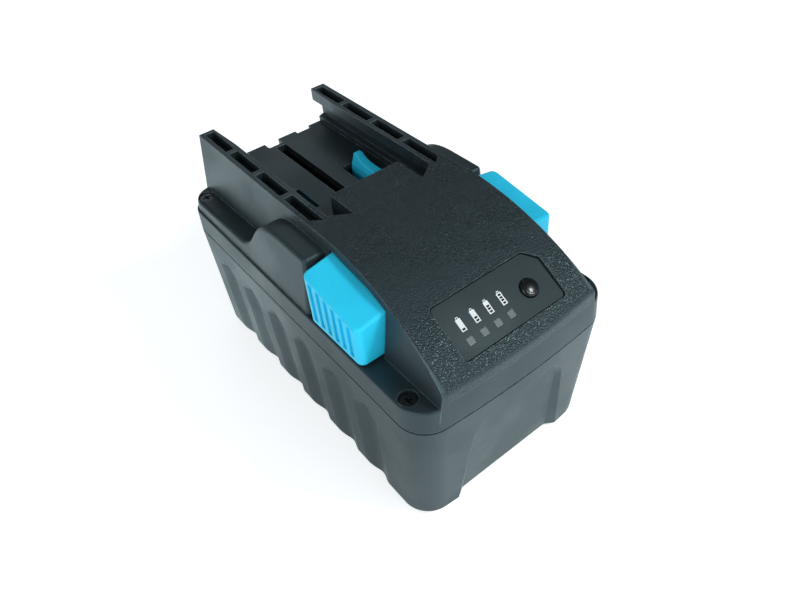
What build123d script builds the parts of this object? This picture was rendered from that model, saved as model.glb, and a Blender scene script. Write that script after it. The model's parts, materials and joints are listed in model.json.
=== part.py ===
from build123d import *
from math import radians, sqrt, tan
import os

os.makedirs("parts", exist_ok=True)

# Slide-on battery pack of fourteen round cells. Millimetres, +Z up, the rails' open end at +Y and
# the charge gauge at -Y. The origin lies on the underside, below the middle of the row of cells.

overrun = 3.0
touch = 0.05

# Cells and the frames that hold them
cell_d = 18.3
cell_length = 65.0
cell_gap = 0.3
column_count = 7
layer_count = 2
cell_edge_r = 0.8
cell_cap_d = 6.2
cell_cap_rise = 0.2
holder_bore_clearance = 0.05
holder_end_reach = 6.0
holder_width = 9.0
holder_rim = 0.9
holder_end_inset = 3.2
post_d = 6.0
strip_width = 7.0
strip_t = 0.3
insulator_t = 0.4

# Case: walls, room round the cells and outline
floor_t = 2.6
wall = 2.5
cell_margin = 0.6
rear_wall = 1.95
side_room = 1.7
side_wall = 2.9
flute_depth = 1.9
flute_reach = 0.25
side_draft = 1.5
front_room = 8.4
front_draft = 4.2
front_bow = 2.1
front_corner_r = 10.4
rear_corner_r = 8.0
board_room = 11.6
bottom_edge_r = 3.0
flute_fade_z = 39.0
flute_fade_height = 7.0
flute_fade_out = 2.5

# Arched recess in the front of the lower case
recess_foot_side = 13.1
recess_head_side = 19.1
recess_side_angle = 58.0
recess_top_gap = 6.0
recess_arch_r = 9.0
recess_lift = 0.3
recess_lip = 2.0
recess_slope = 3.0
recess_foot_drop = 10.0

# Upper case: heights above the parting line
ledge_rise = 9.5
channel_floor_rise = 20.0
rail_rise = 35.2
skirt_lean = 0.4
shoulder_lean = 3.7
shoulder_step = 0.5
skirt_edge_r = 0.8
seam_height = 0.6
seam_depth = 0.9

# Crowned roof
roof_half = 28.4
roof_draft_angle = 8.0
roof_flat_end = 20.0
nose_rise = 13.4
nose_edge_r = 2.5
nose_inset = 1.0
nose_proud = 0.05
roof_t = 2.5

# Channel for the tool's foot and the rails beside it
flange_width = 7.0
lip_height = 4.0
lead_in = 0.9
lead_length = 16.0
rail_web = 2.2
undercut_drop = 9.0
foot_step_rise = 2.8
foot_step_in = 2.2
foot_bevel_share = 0.3
channel_front = 18.0
channel_wall = 2.5
tongue_gap = 7.2
tongue_cheek_t = 1.6
tongue_end = 0.3
notch_depth = 13.7
notch_slant = 4.8
channel_floor_t = 2.5
under_floor_margin = 0.1
hump_hollow_width = 4.6
hump_hollow_wall = 4.5
pocket_wall = 1.7
pocket_rib = 2.3
pocket_pitch = 19.0
pocket_depth = 4.2
pocket_count = 4
pocket_end = 10.3
pocket_slant = 3.0
centre_notch_half = 3.2
centre_notch_length = 3.8
side_notch_width = 6.6
side_notch_centre = 14.8
side_notch_length = 2.0
rear_notch_height = 4.5
rear_notch_r = 0.8

# Shoulders beside the rails
rear_ledge_rise = 13.6
trough_rise = 14.4
hump_rise = 31.2
hump_crest = -3.0
hump_foot = 27.5
hump_front = 18.5
hump_edge_r = 1.6
hump_bend_share = 0.56
hump_bend_place_share = 0.42
rear_ledge_length = 13.0

# Case screws
screw_shank_d = 3.0
screw_length = 11.0
screw_head_d = 5.4
screw_head_t = 2.4
screw_recess_width = 0.8
screw_recess_reach = 3.2
screw_recess_depth = 1.2
counterbore_d = 6.2
shank_hole_d = 3.4
boss_d = 6.6
head_boss_d = 7.6
front_screw_side = 4.3
front_screw_inset = 11.4
rear_screw_side = 5.5
rear_screw_inset = 6.7
front_head_floor_rise = 6.0
rear_head_floor_rise = 10.8
boss_top_gap = 2.0
boss_clearance = 0.15
screw_bite_gap = 1.0
boss_length = 12.0
screw_fit = 0.1

# Release latches
latch_travel = 2.5
latch_clearance = 0.5
head_face_inset = 0.1
head_front = 49.1
head_rear = 21.0
head_wall_in = 3.9
head_base_gap = 0.5
head_front_rise = 25.4
head_rear_rise = 30.2
head_top_slope = 2.1
head_corner_r = 2.4
head_rim_r = 1.3
groove_count = 6
groove_pitch = 3.9
groove_width = 2.1
groove_depth = 0.8
groove_foot_gap = 2.4
groove_height = 12.2
ear_length = 1.8
ear_clearance = 0.2
ear_t = 3.0
arm_wall_in = 14.2
arm_width = 4.6
arm_height = 5.0
arm_rear = 30.6
arm_front = 46.0
hook_length = 14.0
hook_rise = 4.4
hook_low_rise = 2.2
hook_edge_r = 0.6
hook_lean = 1.6
head_upright_share = 0.8
head_inner_raise = 1.4
groove_growth = 0.7
arm_inset = 0.7
window_clearance = 0.4
window_margin = 1.7
spring_d = 6.0
spring_wire = 0.8
spring_pocket_depth = 6.0
spring_pocket_d = 6.8
spring_seat_t = 2.0
spring_seat_in = 11.4
spring_seat_width = 11.0
spring_rise = 21.5
spring_pin_d = 3.6
spring_pin_length = 3.0

# Charge gauge
gauge_front = 73.3
gauge_back = 56.0
gauge_width = 40.8
gauge_height = 18.2
gauge_offset_x = 0.9
gauge_corner_r = 1.4
gauge_chamfer = 4.3
gauge_sink = 0.35
gauge_plate_t = 1.6
gauge_seam = 0.3
gauge_seat = 1.3
led_count = 4
led_pitch = 5.4
led_first_x = -14.1
led_y = -4.8
led_size = 2.4
led_fit = 0.05
led_chip = 2.0
led_chip_t = 0.8
led_gap = 0.3
key_x = 12.3
key_y = -1.2
key_d = 6.2
key_fit = 0.2
key_stand = 1.2
key_crown_r = 1.0
key_flange_d = 7.4
key_flange_t = 0.8
key_flange_gap = 0.15
key_stem_d = 2.4
key_stem_length = 0.6
key_travel = 0.4
key_end_gap = 0.1
key_spring_d = 4.0
key_spring_wire = 0.5
gauge_board_drop = 6.0
gauge_board_t = 1.2
gauge_board_width = 37.6
gauge_board_height = 14.0
switch_size = 4.8
switch_height = 1.6
switch_plunger_d = 2.0
gauge_boss_d = 3.2
gauge_boss_x = 17.0
gauge_boss_y = 5.2
gauge_screw_d = 1.6
gauge_screw_head_d = 3.0
gauge_screw_head_t = 1.0
gauge_screw_length = 4.0
ribbon_t = 0.4
ribbon_width = 8.0
ribbon_foot = 5.0

# Main board and terminals
board_gap = 5.4
board_t = 1.6
board_half_width = 27.0
board_front = 60.0
board_rear = 62.0
board_screw_d = 2.2
board_screw_head_d = 4.2
board_screw_head_t = 1.4
board_screw_length = 6.0
post_x = 24.5
post_front = 37.2
post_rear = 46.5
slot_x = 1.2
slot_half = 2.2
slot_front = 14.0
slot_rear = 62.0
block_half = 8.6
block_margin = 2.0
block_top_gap = 0.3
contact_count = 4
contact_length = 7.0
contact_t = 0.6
contact_wall_gap = 0.1
contact_centre_share = 0.5
contact_foot = 1.2
contact_top_gap = 3.0
fet_count = 4
fet_width = 6.6
fet_length = 9.0
fet_t = 2.3
fet_pitch = 9.5
fet_row_y = -32.0
spreader_t = 1.2
chip_size = 9.0
chip_t = 1.4
chip_x = 20.0
chip_y = 20.0
thermistor_d = 3.0
thermistor_length = 6.0
thermistor_rise = 5.8
lead_width = 6.0
lead_t = 0.6

# Places worked out from the sizes above
cell_pitch = cell_d + cell_gap
row_half = (column_count - 1) / 2 * cell_pitch
cells_half = row_half + cell_d / 2
first_layer_z = floor_t + holder_rim + cell_d / 2
stack_top = first_layer_z + (layer_count - 1) * cell_pitch + cell_d / 2
parting_z = stack_top + board_room
case_rear = cells_half + cell_margin + rear_wall
cavity_front = cells_half + cell_margin
cavity_rear = cells_half + cell_margin
cavity_half = cell_length / 2 + side_room
base_half = cavity_half + side_wall + flute_depth
case_half = base_half + side_draft
recess_foot_half = base_half - recess_foot_side
recess_head_half = base_half - recess_head_side
base_front = cells_half + front_room
case_front = base_front + front_draft
ledge_z = parting_z + ledge_rise
skirt_half = case_half - skirt_lean
skirt_front = case_front - skirt_lean
front_screw_x = case_half - front_screw_side
rear_screw_x = case_half - rear_screw_side
channel_floor_z = parting_z + channel_floor_rise
channel_ceiling_z = channel_floor_z - channel_floor_t
rail_top = parting_z + rail_rise
top_half = skirt_half - shoulder_lean
roof_run = case_front - roof_flat_end
roof_fall = rail_rise - nose_rise
roof_r = (roof_run**2 + roof_fall**2) / (2 * roof_fall)
roof_slope = tan(radians(roof_draft_angle))
rail_inner = roof_half - flange_width
web_inner_half = roof_half - rail_web
tongue_half = rail_inner - tongue_gap
under_floor_half = roof_half + under_floor_margin
hump_hollow_out = skirt_half - hump_hollow_wall
hump_hollow_in = hump_hollow_out - hump_hollow_width
head_face = skirt_half - head_face_inset
head_inner = roof_half - head_wall_in
ear_front_face = roof_half - ear_clearance
arm_inner = roof_half - arm_wall_in
window_inner = arm_inner - latch_travel - window_margin
spring_seat_x = roof_half - spring_seat_in
column_ys = [row_half - column * cell_pitch for column in range(column_count)]
layer_zs = [first_layer_z + layer * cell_pitch for layer in range(layer_count)]
screw_places = [
    (side * x, y, floor)
    for side in (-1, 1)
    for x, y, floor in (
        (front_screw_x, front_screw_inset - case_front, parting_z + front_head_floor_rise),
        (rear_screw_x, case_rear - rear_screw_inset, parting_z + rear_head_floor_rise),
    )
]
board_z = stack_top + board_gap
board_top = board_z + board_t


def roof_height(y, inset):
    """Height of the roof's curve, moved inwards by inset, at a place along the pack."""
    radius = roof_r - inset
    past = max(0, -roof_flat_end - y)
    return rail_top - roof_r + sqrt(radius**2 - past**2)


def case_outline(z, half, front, rear):
    """Plan of the case at one height: straight sides, bowed front, round corners."""
    with BuildSketch(Plane.XY.offset(z)) as outline:
        with BuildLine():
            ThreePointArc((-half, front_bow - front), (0, -front), (half, front_bow - front))
            Polyline(
                (half, front_bow - front), (half, rear), (-half, rear), (-half, front_bow - front)
            )
        make_face()
        fillet(outline.vertices().group_by(Axis.Y)[0], front_corner_r)
        fillet(outline.vertices().group_by(Axis.Y)[-1], rear_corner_r)
    return outline.sketch


def roof_profile(x, inset, front, rear, base):
    """Side view of the roof: flat along the rails, then one long arc down to the nose."""
    top = rail_top - inset
    end = -front
    with BuildSketch(Plane.YZ.offset(x)) as profile:
        with BuildLine():
            Polyline((-roof_flat_end, top), (case_rear, top), (case_rear, base))
            Polyline((case_rear, base), (end, base), (end, roof_height(end, inset)))
            ThreePointArc(
                (end, roof_height(end, inset)),
                ((end - roof_flat_end) / 2, roof_height((end - roof_flat_end) / 2, inset)),
                (-roof_flat_end, top),
            )
        make_face()
        with Locations((-front, base)):
            Rectangle(
                front + rear, rail_top, align=(Align.MIN, Align.MIN), mode=Mode.INTERSECT
            )
    return profile.sketch


def roof_section(y, inset, base):
    """Cross section of the roof and the rails: sides that lean out towards the base."""
    base_half_width = roof_half - inset + (rail_top - base) * roof_slope
    top = rail_top + overrun
    top_half_width = roof_half - inset - overrun * roof_slope
    with BuildSketch(Plane.XZ.offset(-y)) as section:
        Polygon(
            (-base_half_width, base), (base_half_width, base),
            (top_half_width, top), (-top_half_width, top), align=None,
        )
    return section.sketch


# Lower case
def flute_profile(z, wall_x, middle):
    """One wave of the right side's flutes, its crests just outside the wall."""
    crest = wall_x + flute_reach
    outside = wall_x + overrun
    front = middle - cell_pitch / 2
    rear = middle + cell_pitch / 2
    with BuildSketch(Plane.XY.offset(z)) as wave:
        with BuildLine():
            Spline(
                (crest, front), (wall_x - flute_depth, middle), (crest, rear),
                tangents=[(0, 1), (0, 1)],
            )
            Polyline((crest, rear), (outside, rear), (outside, front), (crest, front))
        make_face()
    return wave.sketch


side_run = side_draft / parting_z

with BuildPart() as flute_cutter:
    for flute_y in [y - cell_pitch / 2 for y in column_ys[:-1]]:
        extrude(
            flute_profile(-overrun, base_half - overrun * side_run, flute_y),
            amount=sqrt(1 + side_run**2) * (flute_fade_z + overrun),
            dir=(side_run, 0, 1),
        )
        extrude(
            flute_profile(flute_fade_z, base_half + flute_fade_z * side_run, flute_y),
            amount=sqrt(flute_fade_height**2 + flute_fade_out**2),
            dir=(flute_fade_out, 0, flute_fade_height),
        )

recess_top = parting_z - recess_top_gap
recess_flare = (recess_foot_half - recess_head_half) / recess_top
recess_plane = Plane(
    origin=(0, -base_front - recess_lift, 0), x_dir=(1, 0, 0), z_dir=(0, -parting_z, -front_draft)
)
with BuildPart() as recess_cutter:
    with BuildSketch(recess_plane) as recess_arch:
        Polygon(
            (-recess_foot_half - recess_foot_drop * recess_flare, -recess_foot_drop),
            (recess_foot_half + recess_foot_drop * recess_flare, -recess_foot_drop),
            (recess_head_half, recess_top), (-recess_head_half, recess_top), align=None,
        )
        fillet(recess_arch.vertices().group_by(Axis.Z)[-1], recess_arch_r)
    extrude(amount=-(recess_slope + recess_lift + overrun), taper=recess_side_angle)
    with BuildSketch(Plane.YZ.offset(-recess_foot_half * 2)):
        Polygon(
            (recess_slope - base_front, 0), (recess_lip - case_front, recess_top),
            (-case_front - overrun, recess_top), (-case_front - overrun, -overrun),
            (recess_slope - base_front, -overrun), align=None,
        )
    extrude(amount=recess_foot_half * 4, mode=Mode.INTERSECT)

with BuildPart() as lower_case:
    loft(
        [
            case_outline(0, base_half, base_front, case_rear),
            case_outline(parting_z, case_half, case_front, case_rear),
        ],
        ruled=True,
    )
    add(recess_cutter.part, mode=Mode.SUBTRACT)
    fillet(lower_case.edges().group_by(Axis.Z)[0], bottom_edge_r)
    add(flute_cutter.part, mode=Mode.SUBTRACT)
    add(flute_cutter.part.mirror(Plane.YZ), mode=Mode.SUBTRACT)
    with BuildSketch(Plane.XY.offset(floor_t)):
        Rectangle(2 * cavity_half, cavity_front + cavity_rear)
    extrude(amount=parting_z, mode=Mode.SUBTRACT)
    for boss_x, boss_y, head_floor in screw_places:
        with Locations((boss_x, boss_y, head_floor - boss_top_gap - boss_clearance)):
            Cylinder(boss_d / 2, boss_length, align=(Align.CENTER, Align.CENTER, Align.MAX))
            Hole((screw_shank_d + screw_fit) / 2, depth=boss_length - screw_bite_gap)
lower_case.part.label = "lower_case"
export_step(lower_case.part, "parts/lower_case.step")


# Upper case
def rail_pockets(side):
    """Row of open pockets in the top of one rail, the front one with a slanted end."""
    inner = rail_inner + pocket_wall
    outer = roof_half - pocket_wall
    back = case_rear - pocket_wall
    with BuildPart() as pockets:
        for index in range(pocket_count):
            rear = back - index * pocket_pitch
            front = rear - pocket_pitch + pocket_rib
            front_outer = front
            if index == pocket_count - 1:
                front = -pocket_end
                front_outer = front + pocket_slant
            with BuildSketch(Plane.XY.offset(rail_top - pocket_depth)):
                Polygon(
                    (side * inner, front), (side * outer, front_outer),
                    (side * outer, rear), (side * inner, rear), align=None,
                )
            extrude(amount=pocket_depth + overrun)
    return pockets.part


def shoulder(side):
    """Raised block beside one rail: rear ledge, trough, and the hump behind the button."""
    rear_z = parting_z + rear_ledge_rise
    trough_z = parting_z + trough_rise
    hump_z = parting_z + hump_rise
    rise = hump_z - trough_z
    run = hump_foot - hump_crest
    with BuildPart() as block:
        with BuildSketch(Plane.YZ.offset(min(side * roof_half, side * (case_half + overrun)))):
            with BuildLine():
                Polyline(
                    (-hump_front, hump_z), (-hump_front, ledge_z - overrun),
                    (case_rear, ledge_z - overrun), (case_rear, rear_z),
                    (case_rear - rear_ledge_length, rear_z),
                )
                Spline(
                    (case_rear - rear_ledge_length, rear_z), (hump_foot, trough_z),
                    tangents=[(-1, 0), (-1, 0)],
                )
                Spline(
                    (hump_foot, trough_z),
                    (hump_foot - run * hump_bend_place_share, trough_z + rise * hump_bend_share),
                    (hump_crest, hump_z),
                    tangents=[(-1, 0), (-1, 0)],
                )
                Line((hump_crest, hump_z), (-hump_front, hump_z))
            make_face()
        extrude(amount=case_half + overrun - roof_half)
        loft(
            [
                case_outline(
                    ledge_z - overrun, skirt_half - shoulder_step, skirt_front, case_rear
                ),
                case_outline(rail_top, top_half, skirt_front, case_rear),
            ],
            ruled=True,
            mode=Mode.INTERSECT,
        )
        outer_edges = block.edges().filter_by(lambda edge: edge.center().Z > trough_z).filter_by(
            lambda edge: abs(edge.center().X) > roof_half + hump_edge_r
        ).filter_by(lambda edge: abs(edge.center().Y) < hump_foot)
        fillet(outer_edges, hump_edge_r)
    return block.part


def channel_section():
    """Half of the channel's cross section between the rails, from the floor to the rails' tops."""
    foot_z = channel_floor_z + foot_step_rise
    return [
        (0, channel_floor_z),
        (web_inner_half - foot_step_in, channel_floor_z),
        (web_inner_half - foot_step_in, foot_z - foot_step_in * foot_bevel_share),
        (web_inner_half, foot_z),
        (web_inner_half, rail_top - undercut_drop),
        (rail_inner, rail_top - lip_height),
        (rail_inner, rail_top - roof_t),
        (0, rail_top - roof_t),
    ]


front_lean_total = skirt_lean / ledge_rise * rail_rise

with BuildPart() as roof_block:
    extrude(
        roof_profile(-case_half, 0, case_front, case_rear, parting_z), amount=2 * case_half
    )
    extrude(
        roof_section(-case_front - overrun, 0, parting_z),
        amount=-(case_front + case_rear + 2 * overrun),
        mode=Mode.INTERSECT,
    )
    loft(
        [
            case_outline(parting_z, case_half, case_front + nose_proud, case_rear),
            case_outline(
                rail_top, case_half, case_front + nose_proud - front_lean_total, case_rear
            ),
        ],
        ruled=True,
        mode=Mode.INTERSECT,
    )
    nose = roof_block.edges().filter_by(
        lambda edge: edge.center().Y < -gauge_front and edge.length > roof_half
    ).filter_by(lambda edge: edge.center().Z > ledge_z)
    fillet(nose, nose_edge_r)

roof_cavity_front = case_front - wall - front_bow - nose_inset
with BuildPart() as roof_cavity:
    extrude(
        roof_profile(-case_half, roof_t, roof_cavity_front, -channel_front - channel_wall, 0),
        amount=2 * case_half,
    )
    extrude(
        roof_section(-case_front, wall, 0), amount=-2 * case_front, mode=Mode.INTERSECT
    )

with BuildPart() as channel_cutter:
    with BuildSketch(Plane.XZ.offset(channel_front)):
        with BuildLine():
            Polyline(channel_section() + [(-x, z) for x, z in reversed(channel_section())][1:-1],
                     close=True)
        make_face()
    extrude(amount=-(channel_front + case_rear + overrun))
    with BuildSketch(Plane.XY.offset(rail_top - undercut_drop)):
        Polygon(
            (-rail_inner - lead_in, case_rear + overrun),
            (-rail_inner - lead_in, case_rear),
            (-rail_inner, case_rear - lead_length),
            (-rail_inner, notch_slant - tongue_end - notch_depth),
            (-tongue_half, -tongue_end - notch_depth),
            (-tongue_half, -tongue_end),
            (tongue_half, -tongue_end),
            (tongue_half, -tongue_end - notch_depth),
            (rail_inner, notch_slant - tongue_end - notch_depth),
            (rail_inner, case_rear - lead_length),
            (rail_inner + lead_in, case_rear),
            (rail_inner + lead_in, case_rear + overrun),
            align=None,
        )
    extrude(amount=undercut_drop + overrun)


window_outer = arm_inner + arm_width + window_clearance
window_front = arm_rear - hook_length - window_clearance
window_rear = arm_rear + window_clearance
button_front = head_front + latch_clearance
button_rear = head_rear - latch_clearance
button_base = ledge_z
spring_y = -(head_front + head_rear) / 2
spring_z = parting_z + spring_rise
arm_top_z = channel_ceiling_z - latch_clearance
arm_base_z = arm_top_z - arm_height
head_base_z = ledge_z + head_base_gap
seat_top_z = roof_height(spring_y - spring_seat_width / 2, roof_t / 2)

with BuildPart() as button_opening:
    extrude(
        roof_profile(-case_half, roof_t, button_front, -button_rear, button_base),
        amount=2 * case_half,
    )
    with BuildSketch(Plane.XY.offset(button_base - overrun)):
        with Locations((0, -(button_front + button_rear) / 2)):
            Rectangle(2 * head_inner, button_front - button_rear + 2 * overrun)
    extrude(amount=rail_rise, mode=Mode.SUBTRACT)

gauge_mid = (gauge_front + gauge_back) / 2
gauge_rise = roof_height(-gauge_back, 0) - roof_height(-gauge_front, 0)
gauge_plane = Plane(
    origin=(0, -gauge_mid, (roof_height(-gauge_back, 0) + roof_height(-gauge_front, 0)) / 2),
    x_dir=(1, 0, 0),
    z_dir=(0, -gauge_rise, gauge_front - gauge_back),
)


def gauge_outline(level, grow):
    """Outline of the gauge plate with one cut corner, at a height above the roof's chord."""
    half_width = gauge_width / 2 + grow
    half_height = gauge_height / 2 + grow
    right = gauge_offset_x + half_width
    left = gauge_offset_x - half_width
    with BuildSketch(gauge_plane.offset(level)) as outline:
        Polygon(
            (left, -half_height), (right, -half_height), (right, half_height - gauge_chamfer),
            (right - gauge_chamfer, half_height), (left, half_height), align=None,
        )
        fillet(outline.vertices(), gauge_corner_r)
    return outline.sketch


# Shadow line round the pack where the two halves of the case meet
with BuildPart() as seam_ring:
    extrude(
        case_outline(
            parting_z, case_half + overrun, case_front + overrun, case_rear + overrun
        ),
        amount=seam_height,
    )
    extrude(
        case_outline(
            parting_z, case_half - seam_depth, case_front - seam_depth, case_rear - seam_depth
        ),
        amount=seam_height, mode=Mode.SUBTRACT,
    )

with BuildPart() as upper_case:
    loft(
        [
            case_outline(parting_z, case_half, case_front, case_rear),
            case_outline(ledge_z, skirt_half, skirt_front, case_rear),
        ],
        ruled=True,
    )
    skirt_rim = upper_case.edges().group_by(Axis.Z)[-1]
    fillet(skirt_rim, skirt_edge_r)
    add(roof_block.part)
    add(shoulder(1))
    add(shoulder(-1))
    add(seam_ring.part, mode=Mode.SUBTRACT)
    add(roof_cavity.part, mode=Mode.SUBTRACT)
    with BuildSketch(Plane.XY.offset(parting_z)) as skirt_hollow:
        with Locations((0, (cavity_rear - case_front + wall + front_bow) / 2)):
            Rectangle(
                2 * (skirt_half - wall), cavity_rear + case_front - wall - front_bow
            )
        fillet(skirt_hollow.vertices(), rear_corner_r - wall)
    extrude(amount=ledge_rise - wall, mode=Mode.SUBTRACT)
    with BuildSketch(Plane.XY.offset(parting_z)):
        with Locations((0, cavity_rear)):
            Rectangle(
                2 * under_floor_half, cavity_rear + channel_front + channel_wall + overrun,
                align=(Align.CENTER, Align.MAX),
            )
    extrude(amount=channel_ceiling_z - parting_z, mode=Mode.SUBTRACT)
    for side in (-1, 1):
        with BuildSketch(Plane.XY.offset(parting_z)):
            with Locations((side * (hump_hollow_in + hump_hollow_out) / 2,
                            (hump_crest - hump_front) / 2)):
                Rectangle(
                    hump_hollow_width, hump_crest + hump_front - 2 * wall
                )
        extrude(amount=hump_rise - wall - hump_edge_r, mode=Mode.SUBTRACT)
    add(channel_cutter.part, mode=Mode.SUBTRACT)
    for side in (-1, 1):
        with BuildSketch(Plane.XY.offset(channel_floor_z - touch)):
            with Locations((side * (tongue_half - tongue_cheek_t / 2),
                            -(channel_front + tongue_end + touch) / 2)):
                Rectangle(tongue_cheek_t, channel_front - tongue_end + touch)
        extrude(amount=rail_rise - roof_t - channel_floor_rise + 2 * touch)
    add(button_opening.part, mode=Mode.SUBTRACT)
    for side in (-1, 1):
        add(rail_pockets(side), mode=Mode.SUBTRACT)
        with BuildSketch(Plane.XY.offset(channel_ceiling_z - overrun)):
            with Locations((side * (window_inner + window_outer) / 2,
                            (window_front + window_rear) / 2)):
                Rectangle(window_outer - window_inner, window_rear - window_front)
        extrude(amount=overrun + channel_floor_t + overrun, mode=Mode.SUBTRACT)
    with BuildSketch(Plane.XY.offset(channel_ceiling_z - overrun)):
        with Locations((slot_x, (slot_front + slot_rear) / 2)):
            Rectangle(2 * slot_half, slot_rear - slot_front)
    extrude(amount=overrun + channel_floor_t + overrun, mode=Mode.SUBTRACT)
    with BuildSketch(Plane.XY.offset(channel_floor_z - rear_notch_height)) as rear_notches:
        for notch_x, notch_half, notch_length in (
            (-side_notch_centre, side_notch_width / 2, side_notch_length),
            (0, centre_notch_half, centre_notch_length),
            (side_notch_centre, side_notch_width / 2, side_notch_length),
        ):
            with Locations((notch_x, case_rear)):
                Rectangle(2 * notch_half, 2 * notch_length)
        fillet(rear_notches.vertices().group_by(Axis.Y)[0], rear_notch_r)
    extrude(amount=rear_notch_height + overrun, mode=Mode.SUBTRACT)
    extrude(gauge_outline(-gauge_sink - gauge_plate_t, gauge_seam), amount=overrun * 2,
            mode=Mode.SUBTRACT)
    extrude(gauge_outline(-overrun * 2, -gauge_seat), amount=overrun * 3, mode=Mode.SUBTRACT)
    for boss_x, boss_y, head_floor in screw_places:
        with Locations((boss_x, boss_y, parting_z)):
            Cylinder(
                head_boss_d / 2, ledge_rise - skirt_edge_r,
                align=(Align.CENTER, Align.CENTER, Align.MIN),
            )
            Cylinder(
                boss_d / 2 + boss_clearance, head_floor - boss_top_gap - parting_z,
                mode=Mode.SUBTRACT, align=(Align.CENTER, Align.CENTER, Align.MIN),
            )
        with Locations((boss_x, boss_y, head_floor)):
            Cylinder(
                counterbore_d / 2, rear_ledge_rise, mode=Mode.SUBTRACT,
                align=(Align.CENTER, Align.CENTER, Align.MIN),
            )
            Cylinder(
                shank_hole_d / 2, screw_length, mode=Mode.SUBTRACT,
                align=(Align.CENTER, Align.CENTER, Align.MAX),
            )
    for side in (-1, 1):
        with Locations((side * (spring_seat_x - spring_seat_t / 2), spring_y, arm_top_z)):
            Box(
                spring_seat_t, spring_seat_width, seat_top_z - arm_top_z,
                align=(Align.CENTER, Align.CENTER, Align.MIN),
            )
        with BuildSketch(Plane.YZ.offset(side * (spring_seat_x - touch))):
            with Locations((spring_y, spring_z)):
                Circle(spring_pin_d / 2)
        extrude(amount=side * (spring_pin_length + touch))
upper_case.part.label = "upper_case"
export_step(upper_case.part, "parts/upper_case.step")


# Case screws
with BuildPart() as case_screws:
    for screw_x, screw_y, head_floor in screw_places:
        with Locations((screw_x, screw_y, head_floor)):
            Cylinder(
                screw_head_d / 2, screw_head_t, align=(Align.CENTER, Align.CENTER, Align.MIN)
            )
            Cylinder(
                screw_shank_d / 2, screw_length, align=(Align.CENTER, Align.CENTER, Align.MAX)
            )
        with Locations((screw_x, screw_y, head_floor + screw_head_t)):
            for recess_turn in (0, 90):
                Box(
                    screw_recess_reach, screw_recess_width, screw_recess_depth,
                    rotation=(0, 0, recess_turn), mode=Mode.SUBTRACT,
                    align=(Align.CENTER, Align.CENTER, Align.MAX),
                )
case_screws.part.label = "case_screws"
export_step(case_screws.part, "parts/case_screws.step")


# Release latches: button head, arm under the channel floor and hook beside the rail


def head_face_outline(x, raise_by):
    """Side view of the button head at one distance from the middle of the pack."""
    with BuildSketch(Plane.YZ.offset(x)) as outline:
        Polygon(
            (-head_front, head_base_z), (-head_rear, head_base_z),
            (-head_rear, parting_z + head_rear_rise + raise_by),
            (-head_front, parting_z + head_front_rise + raise_by), align=None,
        )
    return outline.sketch


hook_top = channel_floor_z + hook_rise
hook_low = channel_floor_z + hook_low_rise


def release_latch():
    """Right-hand latch; the left one is its mirror image."""
    with BuildPart() as latch:
        loft(
            [head_face_outline(roof_half, head_top_slope), head_face_outline(head_face, 0)],
            ruled=True,
        )
        corners = latch.edges().filter_by(
            lambda edge: edge.center().X > head_face - touch
        ).filter_by(lambda edge: abs(edge.tangent_at(0).Z) > head_upright_share)
        fillet(corners, head_corner_r)
        rim = latch.faces().sort_by(Axis.X)[-1].edges()
        fillet(rim, head_rim_r)
        extrude(head_face_outline(head_inner, head_inner_raise), amount=roof_half - head_inner)
        for index in range(groove_count):
            groove_y = spring_y + (index - (groove_count - 1) / 2) * groove_pitch
            with Locations((head_face, groove_y, head_base_z + groove_foot_gap)):
                Box(
                    2 * groove_depth, groove_width, groove_height + index * groove_growth,
                    mode=Mode.SUBTRACT, align=(Align.CENTER, Align.CENTER, Align.MIN),
                )
        with Locations((ear_front_face - ear_t / 2, spring_y, head_base_z)):
            Box(
                ear_t, head_front - head_rear + 2 * ear_length, arm_top_z - head_base_z,
                align=(Align.CENTER, Align.CENTER, Align.MIN),
            )
        with Locations((arm_inner, -arm_front, arm_base_z)):
            Box(
                head_inner - arm_inner + touch, arm_front - head_rear - arm_inset,
                arm_height, align=(Align.MIN, Align.MIN, Align.MIN),
            )
            Box(
                arm_width, arm_front + arm_rear, arm_height,
                align=(Align.MIN, Align.MIN, Align.MIN),
            )
        with BuildSketch(Plane.YZ.offset(arm_inner)):
            with BuildLine():
                Polyline(
                    (arm_rear - hook_length, hook_low), (arm_rear - hook_length, arm_base_z),
                    (arm_rear, arm_base_z), (arm_rear, hook_top),
                    (arm_rear - arm_width / 2, hook_top),
                )
                Spline(
                    (arm_rear - arm_width / 2, hook_top), (arm_rear - hook_length, hook_low),
                    tangents=[(-1, -1), (-1, 0)],
                )
            make_face()
        extrude(amount=arm_width)
        with BuildSketch(Plane.XZ.offset(-arm_rear - overrun)):
            Polygon(
                (arm_inner, channel_floor_z), (arm_inner + hook_lean, hook_top + touch),
                (arm_inner - overrun, hook_top + touch), (arm_inner - overrun, channel_floor_z),
                align=None,
            )
        extrude(amount=hook_length + 2 * overrun, mode=Mode.SUBTRACT)
        hook_edges = latch.edges().filter_by(
            lambda edge: edge.center().Z > channel_floor_z and edge.center().Y > 0
        )
        fillet(hook_edges, hook_edge_r)
        with BuildSketch(Plane.YZ.offset(head_inner)):
            with Locations((spring_y, spring_z)):
                Circle(spring_pocket_d / 2)
        extrude(amount=spring_pocket_depth, mode=Mode.SUBTRACT)
    return latch.part


latch_right = release_latch()
for latch_label, latch_part in (
    ("release_latch_right", latch_right),
    ("release_latch_left", latch_right.mirror(Plane.YZ)),
):
    latch_part.label = latch_label
    export_step(latch_part, f"parts/{latch_label}.step")

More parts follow.
